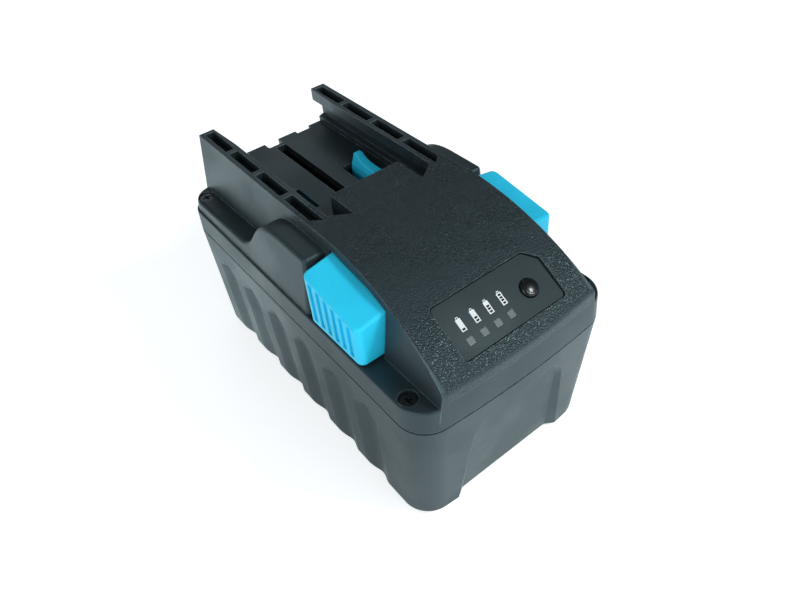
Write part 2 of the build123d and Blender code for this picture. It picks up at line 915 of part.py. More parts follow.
for side, spring_label in ((-1, "release_spring_left"), (1, "release_spring_right")):
    with BuildPart() as release_spring:
        with BuildSketch(Plane.YZ.offset(side * spring_seat_x)):
            with Locations((spring_y, spring_z)):
                Circle(spring_d / 2)
                Circle(spring_d / 2 - spring_wire, mode=Mode.SUBTRACT)
        extrude(amount=side * (head_inner + spring_pocket_depth - spring_seat_x))
    release_spring.part.label = spring_label
    export_step(release_spring.part, f"parts/{spring_label}.step")


# Charge gauge
plate_top = -gauge_sink
plate_base = plate_top - gauge_plate_t
gauge_board_top = -gauge_board_drop
gauge_board_base = gauge_board_top - gauge_board_t
led_xs = [led_first_x + index * led_pitch for index in range(led_count)]
gauge_bosses = [
    (gauge_offset_x - gauge_boss_x, gauge_boss_y), (gauge_offset_x + gauge_boss_x, -gauge_boss_y)
]


def gauge_disc(places, diameter, low, high, bore=0.0):
    """Round bars square to the gauge plate between two levels, with a bore if one is given."""
    with BuildPart() as discs:
        with BuildSketch(gauge_plane.offset(low)):
            with Locations(*places):
                Circle(diameter / 2)
                if bore:
                    Circle(bore / 2, mode=Mode.SUBTRACT)
        extrude(amount=high - low)
    return discs.part


with BuildPart() as gauge_panel:
    extrude(gauge_outline(plate_base, 0), amount=gauge_plate_t)
    add(gauge_disc(gauge_bosses, gauge_boss_d, gauge_board_top, plate_base + touch))
    add(
        gauge_disc(gauge_bosses, gauge_screw_d + screw_fit, gauge_board_top,
                   gauge_board_base + gauge_screw_length + screw_fit),
        mode=Mode.SUBTRACT,
    )
    with BuildSketch(gauge_plane.offset(plate_base)):
        with Locations(*[(led_x, led_y) for led_x in led_xs]):
            Rectangle(led_size + 2 * led_fit, led_size + 2 * led_fit)
    extrude(amount=gauge_plate_t, mode=Mode.SUBTRACT)
    add(
        gauge_disc([(key_x, key_y)], key_d + 2 * key_fit, plate_base, 0), mode=Mode.SUBTRACT
    )
gauge_panel.part.label = "gauge_panel"
export_step(gauge_panel.part, "parts/gauge_panel.step")

for led_index, led_x in enumerate(led_xs, start=1):
    window_low = gauge_board_top + led_chip_t + led_gap
    with BuildPart() as led_window:
        with BuildSketch(gauge_plane.offset(window_low)):
            with Locations((led_x, led_y)):
                Rectangle(led_size, led_size)
        extrude(amount=plate_top - window_low)
    led_window.part.label = f"led_window_{led_index}"
    export_step(led_window.part, f"parts/led_window_{led_index}.step")

with BuildPart() as gauge_leds:
    with BuildSketch(gauge_plane.offset(gauge_board_top)):
        with Locations(*[(led_x, led_y) for led_x in led_xs]):
            Rectangle(led_chip, led_chip)
    extrude(amount=led_chip_t)
gauge_leds.part.label = "gauge_leds"
export_step(gauge_leds.part, "parts/gauge_leds.step")

switch_top = gauge_board_top + switch_height
flange_top = plate_base - key_flange_gap
flange_base = flange_top - key_flange_t
plunger_top = flange_base - key_travel - key_end_gap - key_stem_length

with BuildPart() as gauge_button:
    add(gauge_disc([(key_x, key_y)], key_d, flange_top, plate_top + key_stand))
    fillet(
        gauge_button.edges().filter_by(GeomType.CIRCLE).sort_by(Axis.Z)[-1], key_crown_r
    )
    add(gauge_disc([(key_x, key_y)], key_flange_d, flange_base, flange_top))
    add(gauge_disc([(key_x, key_y)], key_stem_d, flange_base - key_stem_length, flange_base))
gauge_button.part.label = "gauge_button"
export_step(gauge_button.part, "parts/gauge_button.step")

with BuildPart() as gauge_switch:
    with BuildSketch(gauge_plane.offset(gauge_board_top)):
        with Locations((key_x, key_y)):
            Rectangle(switch_size, switch_size)
    extrude(amount=switch_height)
    add(gauge_disc([(key_x, key_y)], switch_plunger_d, switch_top - touch, plunger_top))
gauge_switch.part.label = "gauge_switch"
export_step(gauge_switch.part, "parts/gauge_switch.step")

gauge_spring = gauge_disc(
    [(key_x, key_y)], key_spring_d, switch_top, flange_base,
    bore=key_spring_d - 2 * key_spring_wire,
)
gauge_spring.label = "gauge_button_spring"
export_step(gauge_spring, "parts/gauge_button_spring.step")

with BuildPart() as gauge_board:
    with BuildSketch(gauge_plane.offset(gauge_board_base)):
        with Locations((gauge_offset_x, 0)):
            Rectangle(gauge_board_width, gauge_board_height)
    extrude(amount=gauge_board_t)
    add(
        gauge_disc(gauge_bosses, gauge_screw_d + screw_fit, gauge_board_base, gauge_board_top),
        mode=Mode.SUBTRACT,
    )
gauge_board.part.label = "gauge_board"
export_step(gauge_board.part, "parts/gauge_board.step")

with BuildPart() as gauge_screws:
    add(
        gauge_disc(gauge_bosses, gauge_screw_d, gauge_board_base,
                   gauge_board_base + gauge_screw_length)
    )
    add(
        gauge_disc(gauge_bosses, gauge_screw_head_d, gauge_board_base - gauge_screw_head_t,
                   gauge_board_base)
    )
gauge_screws.part.label = "gauge_screws"
export_step(gauge_screws.part, "parts/gauge_screws.step")

ribbon_start = gauge_plane.offset(gauge_board_base - touch).from_local_coords(
    (gauge_offset_x, gauge_board_height / 2 - ribbon_t, 0)
)
with BuildPart() as gauge_ribbon:
    with Locations((ribbon_start.X, ribbon_start.Y - ribbon_t / 2, board_top)):
        Box(
            ribbon_width, ribbon_t, ribbon_start.Z - board_top - ribbon_t,
            align=(Align.CENTER, Align.MIN, Align.MIN),
        )
        Box(
            ribbon_width, ribbon_foot, ribbon_t, align=(Align.CENTER, Align.MIN, Align.MIN)
        )
gauge_ribbon.part.label = "gauge_ribbon"
export_step(gauge_ribbon.part, "parts/gauge_ribbon.step")


# Cells, frames, strips and insulators
cell_numbers = [(column, layer) for column in range(column_count) for layer in range(layer_count)]
for cell_index, (column, layer) in enumerate(cell_numbers, start=1):
    cap_side = 1 if column % 2 else -1
    with BuildPart() as cell:
        with BuildSketch(Plane.YZ.offset(-cap_side * cell_length / 2)):
            with Locations((column_ys[column], layer_zs[layer])):
                Circle(cell_d / 2)
        extrude(amount=cap_side * (cell_length - cell_cap_rise))
        fillet(cell.edges(), cell_edge_r)
        with BuildSketch(Plane.YZ.offset(cap_side * (cell_length / 2 - cell_cap_rise))):
            with Locations((column_ys[column], layer_zs[layer])):
                Circle(cell_cap_d / 2)
        extrude(amount=cap_side * cell_cap_rise)
    cell.part.label = f"cell_{cell_index:02d}"
    export_step(cell.part, f"parts/cell_{cell_index:02d}.step")

holder_top = stack_top + holder_rim
holder_outer = cell_length / 2 - holder_end_inset
post_places = [(post_x, -post_front), (post_x, post_rear)]
for side, side_name in ((-1, "left"), (1, "right")):
    with BuildPart() as cell_holder:
        with Locations((side * (holder_outer - holder_width / 2), 0, floor_t)):
            Box(
                holder_width, 2 * (row_half + holder_end_reach), holder_top - floor_t,
                align=(Align.CENTER, Align.CENTER, Align.MIN),
            )
        with BuildSketch(Plane.YZ.offset(side * (holder_outer + overrun))):
            with Locations(*[(y, z) for y in column_ys for z in layer_zs]):
                Circle(cell_d / 2 + holder_bore_clearance)
        extrude(amount=-side * (holder_width + 2 * overrun), mode=Mode.SUBTRACT)
        with Locations(*[(side * x, y, holder_top - touch) for x, y in post_places]):
            Cylinder(
                post_d / 2, board_z - holder_top + touch,
                align=(Align.CENTER, Align.CENTER, Align.MIN),
            )
        with Locations(*[(side * x, y, board_z) for x, y in post_places]):
            Cylinder(
                (board_screw_d + screw_fit) / 2, board_screw_length - board_t + screw_fit,
                mode=Mode.SUBTRACT, align=(Align.CENTER, Align.CENTER, Align.MAX),
            )
    cell_holder.part.label = f"cell_holder_{side_name}"
    export_step(cell_holder.part, f"parts/cell_holder_{side_name}.step")

    single = 0 if side < 0 else column_count - 1
    pairs_from = 1 if side < 0 else 0
    groups = [[single]] + [
        [column, column + 1] for column in range(pairs_from, column_count - 1, 2)
    ]
    layer_mid = (layer_zs[0] + layer_zs[-1]) / 2
    layer_span = layer_zs[-1] - layer_zs[0]
    for strip_index, group in enumerate(groups, start=1):
        with BuildPart() as nickel:
            with BuildSketch(Plane.YZ.offset(side * cell_length / 2)):
                with Locations(*[(column_ys[column], layer_mid) for column in group]):
                    Rectangle(strip_width, layer_span + strip_width)
                if len(group) > 1:
                    pair_mid = (column_ys[group[0]] + column_ys[group[1]]) / 2
                    with Locations(*[(pair_mid, z) for z in layer_zs]):
                        Rectangle(cell_pitch, strip_width)
            extrude(amount=side * strip_t)
        nickel.part.label = f"nickel_{side_name}_{strip_index}"
        export_step(nickel.part, f"parts/nickel_{side_name}_{strip_index}.step")

    insulator_x = cell_length / 2 + lead_t + screw_fit
    with BuildPart() as insulator:
        with Locations((side * (insulator_x + insulator_t / 2), 0, floor_t)):
            Box(
                insulator_t, 2 * cells_half, stack_top - floor_t,
                align=(Align.CENTER, Align.CENTER, Align.MIN),
            )
    insulator.part.label = f"end_insulator_{side_name}"
    export_step(insulator.part, f"parts/end_insulator_{side_name}.step")

    lead_y = column_ys[single]
    lead_low = layer_zs[-1] + strip_width / 2
    lead_name = "lead_negative" if side < 0 else "lead_positive"
    with BuildPart() as lead:
        with Locations((side * (cell_length / 2 + lead_t / 2), lead_y, lead_low)):
            Box(
                lead_t, lead_width, board_top + lead_t - lead_low,
                align=(Align.CENTER, Align.CENTER, Align.MIN),
            )
        with Locations((side * cell_length / 2, lead_y, board_top)):
            Box(
                2 * (cell_length / 2 - board_half_width + lead_width / 2), lead_width, lead_t,
                align=(Align.CENTER, Align.CENTER, Align.MIN),
            )
        with Locations((side * (cell_length / 2 + lead_t), lead_y, board_top)):
            Box(
                board_half_width, 2 * lead_width, 2 * lead_t, mode=Mode.SUBTRACT,
                align=(Align.MIN if side > 0 else Align.MAX, Align.CENTER, Align.CENTER),
            )
    lead.part.label = lead_name
    export_step(lead.part, f"parts/{lead_name}.step")


# Main board and what stands on it
board_screw_places = [(side * x, y) for side in (-1, 1) for x, y in post_places]
with BuildPart() as main_board:
    with BuildSketch(Plane.XY.offset(board_z)):
        with Locations((0, (board_rear - board_front) / 2)):
            Rectangle(2 * board_half_width, board_front + board_rear)
        with Locations(*board_screw_places):
            Circle((board_screw_d + screw_fit) / 2, mode=Mode.SUBTRACT)
    extrude(amount=board_t)
main_board.part.label = "main_board"
export_step(main_board.part, "parts/main_board.step")

with BuildPart() as board_screws:
    with Locations(*[(x, y, board_top) for x, y in board_screw_places]):
        Cylinder(
            board_screw_d / 2, board_screw_length, align=(Align.CENTER, Align.CENTER, Align.MAX)
        )
        Cylinder(
            board_screw_head_d / 2, board_screw_head_t,
            align=(Align.CENTER, Align.CENTER, Align.MIN),
        )
board_screws.part.label = "board_screws"
export_step(board_screws.part, "parts/board_screws.step")

with BuildPart() as power_transistors:
    with BuildSketch(Plane.XY.offset(board_top)):
        with Locations((0, fet_row_y)):
            with GridLocations(fet_pitch, 0, fet_count, 1):
                Rectangle(fet_width, fet_length)
    extrude(amount=fet_t)
power_transistors.part.label = "power_transistors"
export_step(power_transistors.part, "parts/power_transistors.step")

with BuildPart() as heat_spreader:
    with Locations((0, fet_row_y, board_top + fet_t)):
        Box(
            (fet_count - 1) * fet_pitch + fet_width, fet_length, spreader_t,
            align=(Align.CENTER, Align.CENTER, Align.MIN),
        )
heat_spreader.part.label = "heat_spreader"
export_step(heat_spreader.part, "parts/heat_spreader.step")

with BuildPart() as control_chip:
    with Locations((chip_x, chip_y, board_top)):
        Box(chip_size, chip_size, chip_t, align=(Align.CENTER, Align.CENTER, Align.MIN))
control_chip.part.label = "control_chip"
export_step(control_chip.part, "parts/control_chip.step")

block_top = channel_ceiling_z - block_top_gap
with BuildPart() as terminal_block:
    with Locations((0, (slot_front + slot_rear) / 2, board_top)):
        Box(
            2 * block_half, slot_rear - slot_front + 2 * block_margin, block_top - board_top,
            align=(Align.CENTER, Align.CENTER, Align.MIN),
        )
    with Locations((slot_x, (slot_front + slot_rear) / 2, board_top + block_margin)):
        Box(
            2 * slot_half, slot_rear - slot_front, block_top, mode=Mode.SUBTRACT,
            align=(Align.CENTER, Align.CENTER, Align.MIN),
        )
terminal_block.part.label = "terminal_block"
export_step(terminal_block.part, "parts/terminal_block.step")

contact_half = slot_half - contact_wall_gap
contact_pitch = (slot_rear - slot_front) / contact_count
for contact_index in range(contact_count):
    contact_y = slot_front + (contact_index + contact_centre_share) * contact_pitch
    with BuildPart() as contact:
        with Locations((slot_x, contact_y, board_top + block_margin)):
            Box(
                2 * contact_half, contact_length,
                block_top - board_top - block_margin - contact_top_gap,
                align=(Align.CENTER, Align.CENTER, Align.MIN),
            )
        with Locations((slot_x, contact_y, board_top + block_margin + contact_foot)):
            Box(
                2 * (contact_half - contact_t), contact_length, block_top, mode=Mode.SUBTRACT,
                align=(Align.CENTER, Align.CENTER, Align.MIN),
            )
    contact.part.label = f"contact_{contact_index + 1}"
    export_step(contact.part, f"parts/contact_{contact_index + 1}.step")

with BuildPart() as thermistor:
    thermistor_z = layer_zs[-1] + thermistor_rise
    with BuildSketch(Plane.YZ.offset(-thermistor_length / 2)):
        with Locations((cell_pitch / 2, thermistor_z)):
            Circle(thermistor_d / 2)
    extrude(amount=thermistor_length)
thermistor.part.label = "thermistor"
export_step(thermistor.part, "parts/thermistor.step")
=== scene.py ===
import json
import math

import bpy
from bpy.props import FloatProperty, FloatVectorProperty, IntProperty, PointerProperty
from mathutils import Matrix, Vector


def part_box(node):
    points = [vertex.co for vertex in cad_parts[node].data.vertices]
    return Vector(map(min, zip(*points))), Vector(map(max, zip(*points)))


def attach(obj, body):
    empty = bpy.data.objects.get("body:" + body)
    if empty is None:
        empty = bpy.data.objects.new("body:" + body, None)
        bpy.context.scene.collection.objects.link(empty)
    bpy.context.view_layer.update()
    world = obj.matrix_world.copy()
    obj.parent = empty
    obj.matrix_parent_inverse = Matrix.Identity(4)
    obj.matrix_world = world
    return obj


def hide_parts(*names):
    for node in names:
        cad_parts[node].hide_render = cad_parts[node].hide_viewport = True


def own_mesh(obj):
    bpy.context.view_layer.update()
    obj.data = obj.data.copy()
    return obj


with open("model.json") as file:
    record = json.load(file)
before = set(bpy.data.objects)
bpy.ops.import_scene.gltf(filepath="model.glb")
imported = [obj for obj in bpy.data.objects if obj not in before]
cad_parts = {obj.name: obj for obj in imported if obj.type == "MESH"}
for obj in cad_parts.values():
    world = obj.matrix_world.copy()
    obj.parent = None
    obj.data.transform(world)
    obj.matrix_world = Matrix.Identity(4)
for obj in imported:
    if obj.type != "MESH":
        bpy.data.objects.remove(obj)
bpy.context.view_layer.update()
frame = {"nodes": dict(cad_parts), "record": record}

bl_info = {
    "name": "Slide-on battery pack",
    "version": (1, 0, 0),
    "blender": (4, 5, 0),
    "location": "View3D > Sidebar > Battery pack",
    "description": "Finishes, gauge print, wound springs and studio for a slide-on battery pack",
    "category": "Object",
}

# Cells: their pitch, the height of the low layer, and the end faces' place, ring and pole.
CELL_PITCH = 0.0186
LOW_CELL_Z = sum(corner[2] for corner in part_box("cell_01")) / 2
CELL_END = (0.0322, 0.0324)
RING_EDGE = (0.0071, 0.0069)
POLE_EDGE = (0.0041, 0.0039)

# The grained roof: its low and high corners, how softly the grain ends, and the colour of the painted
# glints on its tips.
ROOF_ZONE = ((-0.0296, -0.080, 0.0626), (0.0296, -0.0002, 0.090), 0.0002)
GRAIN_GLINT = (0.13, 0.135, 0.14, 1.0)

# Colour of the gloss on the case.
COOL_GLOSS = (0.70, 0.96, 1.0)

# Width of the lightened edges, moulded and metal, where wear and a painted highlight go, and depth of
# drawn lines. Relief is bumped in millimetres.
PLASTIC_EDGE = 0.00035
METAL_EDGE = 0.0002
LINE_DEPTH = 0.000003
RELIEF_SCALE = 1000.0

# An icon is a grid of squares: columns and rows, its nub's, and the rows and columns of its dark cells.
ICON_GRID = (19, 44)
ICON_COUNT = 4
NUB_ROW, NUB_TOP_ROW = 38, 42
NUB_COLUMNS = (5, 13)
NUB_WALLS = (5, 6, 12, 13)
INK_FOOT, INK_STEP, INK_ROWS = 3, 8.6, 6
INK_COLUMNS = (4, 14)

# Fineness of the button's crown, of the springs' wire and turns, and of smoothed edges.
CROWN_RINGS = 12
CROWN_SEGMENTS = 64
WIRE_SIDES = 10
STEPS_PER_TURN = 24
SMOOTH_ANGLE = math.radians(40)

# How near a face's level a point counts as on the face.
FACE_SLACK = 0.0001

# The studio floor, and how far it lies below the pack.
FLOOR_SIZE = 6.0
FLOOR_GAP = 0.0001

# The floor's glow by kind of ray. Gloss sees a dark sector and a bright one, each toward its side.
GLOW_SEEN = 0.6
GLOW_SPREAD = 0.2
GLOW_GLOSS = 0.66
GLOW_DARK = 0.26
GLOW_BRIGHT = 0.30
DARK_SIDE = (-0.966, -0.259, 0.0)
BRIGHT_SIDE = (-0.500, 0.866, 0.0)

# Colours of the glow, the sky and the lamps, and the place that the lamps aim at.
WHITE = (1.0, 1.0, 1.0, 1.0)
FLOOR_TINT = (0.84, 0.98, 1.0, 1.0)
SKY_TINT = (0.84, 0.94, 1.0, 1.0)
LAMP_TINT = (0.93, 0.99, 1.0)
LAMP_AIM = (0.0, -0.01, 0.045)

# The camera solved from the photograph: its angles, what it looks at and how far away it stands.
CAMERA_ANGLES = (-34.25, 43.75, -5.87)
CAMERA_TARGET = (-0.00024, -0.01437, 0.040)
CAMERA_DISTANCE = 0.2586


# Node helpers

def place(tree, kind, **values):
    """Adds a shader node of a kind and sets its properties."""
    node = tree.nodes.new(kind)
    for key, value in values.items():
        setattr(node, key, value)
    return node


def join(tree, source, target):
    tree.links.new(source, target)
    return source


def maths(tree, operation, first, second=None, third=None, clamp=False):
    """Maths node on sockets or plain numbers."""
    node = place(tree, "ShaderNodeMath", operation=operation, use_clamp=clamp)
    for socket, value in zip(node.inputs, (first, second, third)):
        if value is None:
            continue
        if isinstance(value, bpy.types.NodeSocket):
            join(tree, value, socket)
        else:
            socket.default_value = value
    return node.outputs[0]


def ramp(tree, value, low, high, to_low=0.0, to_high=1.0):
    """Smooth step from to_low at low to to_high at high."""
    node = place(tree, "ShaderNodeMapRange", interpolation_type="SMOOTHSTEP")
    join(tree, value, node.inputs["Value"])
    node.inputs["From Min"].default_value = low
    node.inputs["From Max"].default_value = high
    node.inputs["To Min"].default_value = to_low
    node.inputs["To Max"].default_value = to_high
    return node.outputs["Result"]


def blend(tree, share, first, second):
    """Mix of two colours. Its sockets go by number, because the node repeats their names."""
    node = place(tree, "ShaderNodeMix", data_type="RGBA")
    pairs = ((node.inputs[0], share), (node.inputs[6], first), (node.inputs[7], second))
    for socket, value in pairs:
        if isinstance(value, bpy.types.NodeSocket):
            join(tree, value, socket)
        else:
            socket.default_value = value
    return node.outputs[2]


def tint(colour, factor):
    """A colour made darker or lighter, with its alpha."""
    return (*[min(part * factor, 1.0) for part in colour[:3]], 1.0)


def new_group(name, inputs, outputs):
    """An empty node group with named sockets, and its two end nodes."""
    tree = bpy.data.node_groups.new(name, "ShaderNodeTree")
    for label, kind, value in inputs:
        socket = tree.interface.new_socket(name=label, in_out="INPUT", socket_type=kind)
        if value is not None:
            socket.default_value = value
    for label, kind in outputs:
        tree.interface.new_socket(name=label, in_out="OUTPUT", socket_type=kind)
    return tree, place(tree, "NodeGroupInput"), place(tree, "NodeGroupOutput")


# Shared effects

def grain_group():
    """Leather-like mould grain: soft cells with creases between them."""
    if "mould_grain" in bpy.data.node_groups:
        return bpy.data.node_groups["mould_grain"]
    tree, start, end = new_group("mould_grain", (
        ("Vector", "NodeSocketVector", None), ("Cells per metre", "NodeSocketFloat", 1400.0)),
        (("Height", "NodeSocketFloat"),))
    wobble = place(tree, "ShaderNodeTexNoise")
    join(tree, start.outputs["Vector"], wobble.inputs["Vector"])
    join(tree, start.outputs["Cells per metre"], wobble.inputs["Scale"])
    wobble.inputs["Detail"].default_value = 2.0
    offset = place(tree, "ShaderNodeVectorMath", operation="MULTIPLY_ADD")
    join(tree, wobble.outputs["Color"], offset.inputs[0])
    offset.inputs[1].default_value = (0.00012, 0.00012, 0.00012)
    join(tree, start.outputs["Vector"], offset.inputs[2])
    cells = place(tree, "ShaderNodeTexVoronoi", feature="SMOOTH_F1")
    join(tree, offset.outputs[0], cells.inputs["Vector"])
    join(tree, start.outputs["Cells per metre"], cells.inputs["Scale"])
    cells.inputs["Smoothness"].default_value = 0.35
    crown = ramp(tree, cells.outputs["Distance"], 0.1, 0.75, 1.0, 0.0)
    join(tree, maths(tree, "MULTIPLY_ADD", wobble.outputs["Fac"], 0.5, crown), end.inputs["Height"])
    return tree


def drift_group():
    """Slow drift of tone with a finer mottle, for handling marks and uneven gloss."""
    if "tone_drift" in bpy.data.node_groups:
        return bpy.data.node_groups["tone_drift"]
    tree, start, end = new_group("tone_drift", (
        ("Vector", "NodeSocketVector", None), ("Patches per metre", "NodeSocketFloat", 45.0)),
        (("Drift", "NodeSocketFloat"), ("Mottle", "NodeSocketFloat")))
    slow = place(tree, "ShaderNodeTexNoise")
    join(tree, start.outputs["Vector"], slow.inputs["Vector"])
    join(tree, start.outputs["Patches per metre"], slow.inputs["Scale"])
    slow.inputs["Detail"].default_value = 4.0
    fine = place(tree, "ShaderNodeTexNoise")
    join(tree, start.outputs["Vector"], fine.inputs["Vector"])
    join(tree, maths(tree, "MULTIPLY", start.outputs["Patches per metre"], 45.0), fine.inputs["Scale"])
    fine.inputs["Detail"].default_value = 3.0
    join(tree, ramp(tree, slow.outputs["Fac"], 0.3, 0.7), end.inputs["Drift"])
    join(tree, ramp(tree, fine.outputs["Fac"], 0.25, 0.75), end.inputs["Mottle"])
    return tree


def edge_group():
    """Mask of the outer edges, where handling polishes a surface and a painted highlight lightens it."""
    if "edge_wear_and_highlight" in bpy.data.node_groups:
        return bpy.data.node_groups["edge_wear_and_highlight"]
    tree, start, end = new_group("edge_wear_and_highlight", (
        ("Vector", "NodeSocketVector", None), ("Width", "NodeSocketFloat", 0.00025)),
        (("Wear and highlight", "NodeSocketFloat"),))
    soft = place(tree, "ShaderNodeBevel", samples=4)
    join(tree, start.outputs["Width"], soft.inputs["Radius"])
    flat = place(tree, "ShaderNodeNewGeometry")
    dot = place(tree, "ShaderNodeVectorMath", operation="DOT_PRODUCT")
    join(tree, soft.outputs[0], dot.inputs[0])
    join(tree, flat.outputs["Normal"], dot.inputs[1])
    patchy = place(tree, "ShaderNodeTexNoise")
    join(tree, start.outputs["Vector"], patchy.inputs["Vector"])
    patchy.inputs["Scale"].default_value = 260.0
    patchy.inputs["Detail"].default_value = 4.0
    turned = ramp(tree, dot.outputs["Value"], 0.995, 0.86)
    broken = ramp(tree, patchy.outputs["Fac"], 0.3, 0.62, 0.25, 1.0)
    join(tree, maths(tree, "MULTIPLY", turned, broken), end.inputs["Wear and highlight"])
    return tree


def hollow_group():
    """Occlusion mask of open faces, falling to zero in pockets, slots and inner corners, where painted
    shade goes.
    """
    if "hollow_shade" in bpy.data.node_groups:
        return bpy.data.node_groups["hollow_shade"]
    tree, start, end = new_group("hollow_shade", (
        ("Vector", "NodeSocketVector", None), ("Reach", "NodeSocketFloat", 0.010)),
        (("Open", "NodeSocketFloat"),))
    shade = place(tree, "ShaderNodeAmbientOcclusion", samples=6)
    join(tree, start.outputs["Reach"], shade.inputs["Distance"])
    patchy = place(tree, "ShaderNodeTexNoise")
    join(tree, start.outputs["Vector"], patchy.inputs["Vector"])
    patchy.inputs["Scale"].default_value = 180.0
    uneven = maths(tree, "MULTIPLY_ADD", patchy.outputs["Fac"], 0.08, shade.outputs["AO"])
    join(tree, ramp(tree, uneven, 0.10, 0.62), end.inputs["Open"])
    return tree


def brush_group():
    """Fine drawn lines along one axis, as on rolled strip and drawn wire."""
    if "drawn_lines" in bpy.data.node_groups:
        return bpy.data.node_groups["drawn_lines"]
    tree, start, end = new_group("drawn_lines", (
        ("Vector", "NodeSocketVector", None),), (("Lines", "NodeSocketFloat"),))
    stretch = place(tree, "ShaderNodeMapping")
    join(tree, start.outputs["Vector"], stretch.inputs["Vector"])
    stretch.inputs["Scale"].default_value = (9000.0, 260.0, 9000.0)
    lines = place(tree, "ShaderNodeTexNoise")
    join(tree, stretch.outputs[0], lines.inputs["Vector"])
    lines.inputs["Scale"].default_value = 1.0
    lines.inputs["Detail"].default_value = 3.0
    join(tree, lines.outputs["Fac"], end.inputs["Lines"])
    return tree


def use_group(tree, group, vector, **values):
    """Places a group in a material, with its own values for the group's inputs."""
    node = place(tree, "ShaderNodeGroup", node_tree=group)
    join(tree, vector, node.inputs["Vector"])
    for key, value in values.items():
        node.inputs[key.replace("_", " ")].default_value = value
    return node


def start_material(name):
    """A new material with its shader, and the coordinates that its patterns read."""
    mat = bpy.data.materials.new(name)
    mat.use_nodes = True
    tree = mat.node_tree
    tree.nodes.clear()
    shader = place(tree, "ShaderNodeBsdfPrincipled")
    join(tree, shader.outputs[0], place(tree, "ShaderNodeOutputMaterial").inputs["Surface"])
    where = place(tree, "ShaderNodeTexCoord").outputs["Object"]
    return mat, tree, shader, where


def bump(tree, shader, height, depth, soft_edge):
    """Joins a height to the shader's normal, over edges rounded by soft_edge."""
    node = place(tree, "ShaderNodeBump")
    node.inputs["Strength"].default_value = 1.0
    node.inputs["Distance"].default_value = depth
    join(tree, height, node.inputs["Height"])
    if soft_edge:
        rounded = place(tree, "ShaderNodeBevel", samples=4)
        rounded.inputs["Radius"].default_value = soft_edge
        join(tree, rounded.outputs[0], node.inputs["Normal"])
    join(tree, node.outputs[0], shader.inputs["Normal"])


def zone_mask(tree, where, low, high, soft):
    """One inside the box from low to high, fading over soft at its faces."""
    split = place(tree, "ShaderNodeSeparateXYZ")
    join(tree, where, split.inputs[0])
    mask = None
    for axis, (least, most) in enumerate(zip(low, high)):
        rise = ramp(tree, split.outputs[axis], least - soft, least + soft)
        fall = ramp(tree, split.outputs[axis], most - soft, most + soft, 1.0, 0.0)
        both = maths(tree, "MULTIPLY", rise, fall)
        mask = both if mask is None else maths(tree, "MULTIPLY", mask, both)
    return mask


# Finishes

def plastic(name, colour, rough, wear_and_highlight=0.35, mottle_depth=0.000006, specular=0.5, coat=0.0,
            soft_edge=0.00025, gloss_tint=(1.0, 1.0, 1.0), zone=None, grain_depth=0.0,
            cells_per_metre=1400.0, grain_rough=0.0, grain_glint=0.0, painted_hollow_shade=0.0):
    """Moulded plastic with drifting tone and edges lightened by wear and a painted highlight, and if
    asked a grained zone with painted glints on its tips and painted shade in its hollows.
    """
    mat, tree, shader, where = start_material(name)
    drift = use_group(tree, drift_group(), where)
    worn_and_lit = use_group(tree, edge_group(), where, Width=PLASTIC_EDGE)
    tone = blend(tree, drift.outputs["Drift"], tint(colour, 0.88), tint(colour, 1.1))
    tone = blend(tree, maths(tree, "MULTIPLY", drift.outputs["Mottle"], 0.35), tone, tint(colour, 1.25))
    lit_worn_edge = maths(tree, "MULTIPLY", worn_and_lit.outputs["Wear and highlight"], wear_and_highlight)
    # Painted highlight, with some wear: the edges are lightened up to five-fold toward a pale tone.
    tone = blend(tree, lit_worn_edge, tone, tint([part + 0.035 for part in colour[:3]], 5.0))
    gloss = ramp(tree, drift.outputs["Drift"], 0.0, 1.0, rough - 0.05, rough + 0.05)
    gloss = maths(tree, "MULTIPLY_ADD", drift.outputs["Mottle"], 0.06, gloss)
    gloss = maths(tree, "MULTIPLY_ADD", lit_worn_edge, -0.12, gloss, clamp=True)
    height = maths(tree, "MULTIPLY", drift.outputs["Mottle"], mottle_depth)
    if zone:
        mask = zone_mask(tree, where, *zone)
        grain = use_group(tree, grain_group(), where, Cells_per_metre=cells_per_metre)
        raised = maths(tree, "MULTIPLY", grain.outputs["Height"], grain_depth)
        height = maths(tree, "MULTIPLY_ADD", raised, mask, height)
        gloss = maths(tree, "MULTIPLY_ADD", mask, grain_rough, gloss, clamp=True)
        # Painted highlight: the grain's raised crowns are lightened toward the tip colour, as glints.
        tip_glint = maths(tree, "MULTIPLY", ramp(tree, grain.outputs["Height"], 0.90, 1.15), mask)
        tone = blend(tree, maths(tree, "MULTIPLY", tip_glint, grain_glint), tone, GRAIN_GLINT)
    shader.inputs["Specular IOR Level"].default_value = specular
    # Painted shade: pockets, slots and inner corners are darkened by the occlusion mask.
    if painted_hollow_shade:
        open_face = use_group(tree, hollow_group(), where).outputs["Open"]
        painted_shade = maths(tree, "MULTIPLY_ADD", open_face, -painted_hollow_shade, painted_hollow_shade)
        tone = blend(tree, painted_shade, tone, tint(colour, 0.15))
        gloss = maths(tree, "MULTIPLY_ADD", painted_shade, 0.6, gloss, clamp=True)
    join(tree, tone, shader.inputs["Base Color"])
    join(tree, gloss, shader.inputs["Roughness"])
    bump(tree, shader, maths(tree, "MULTIPLY", height, RELIEF_SCALE), 1 / RELIEF_SCALE, soft_edge)
    shader.inputs["Specular Tint"].default_value = (*gloss_tint, 1.0)
    shader.inputs["Coat Weight"].default_value = coat
    shader.inputs["Coat Roughness"].default_value = 0.12
    return mat


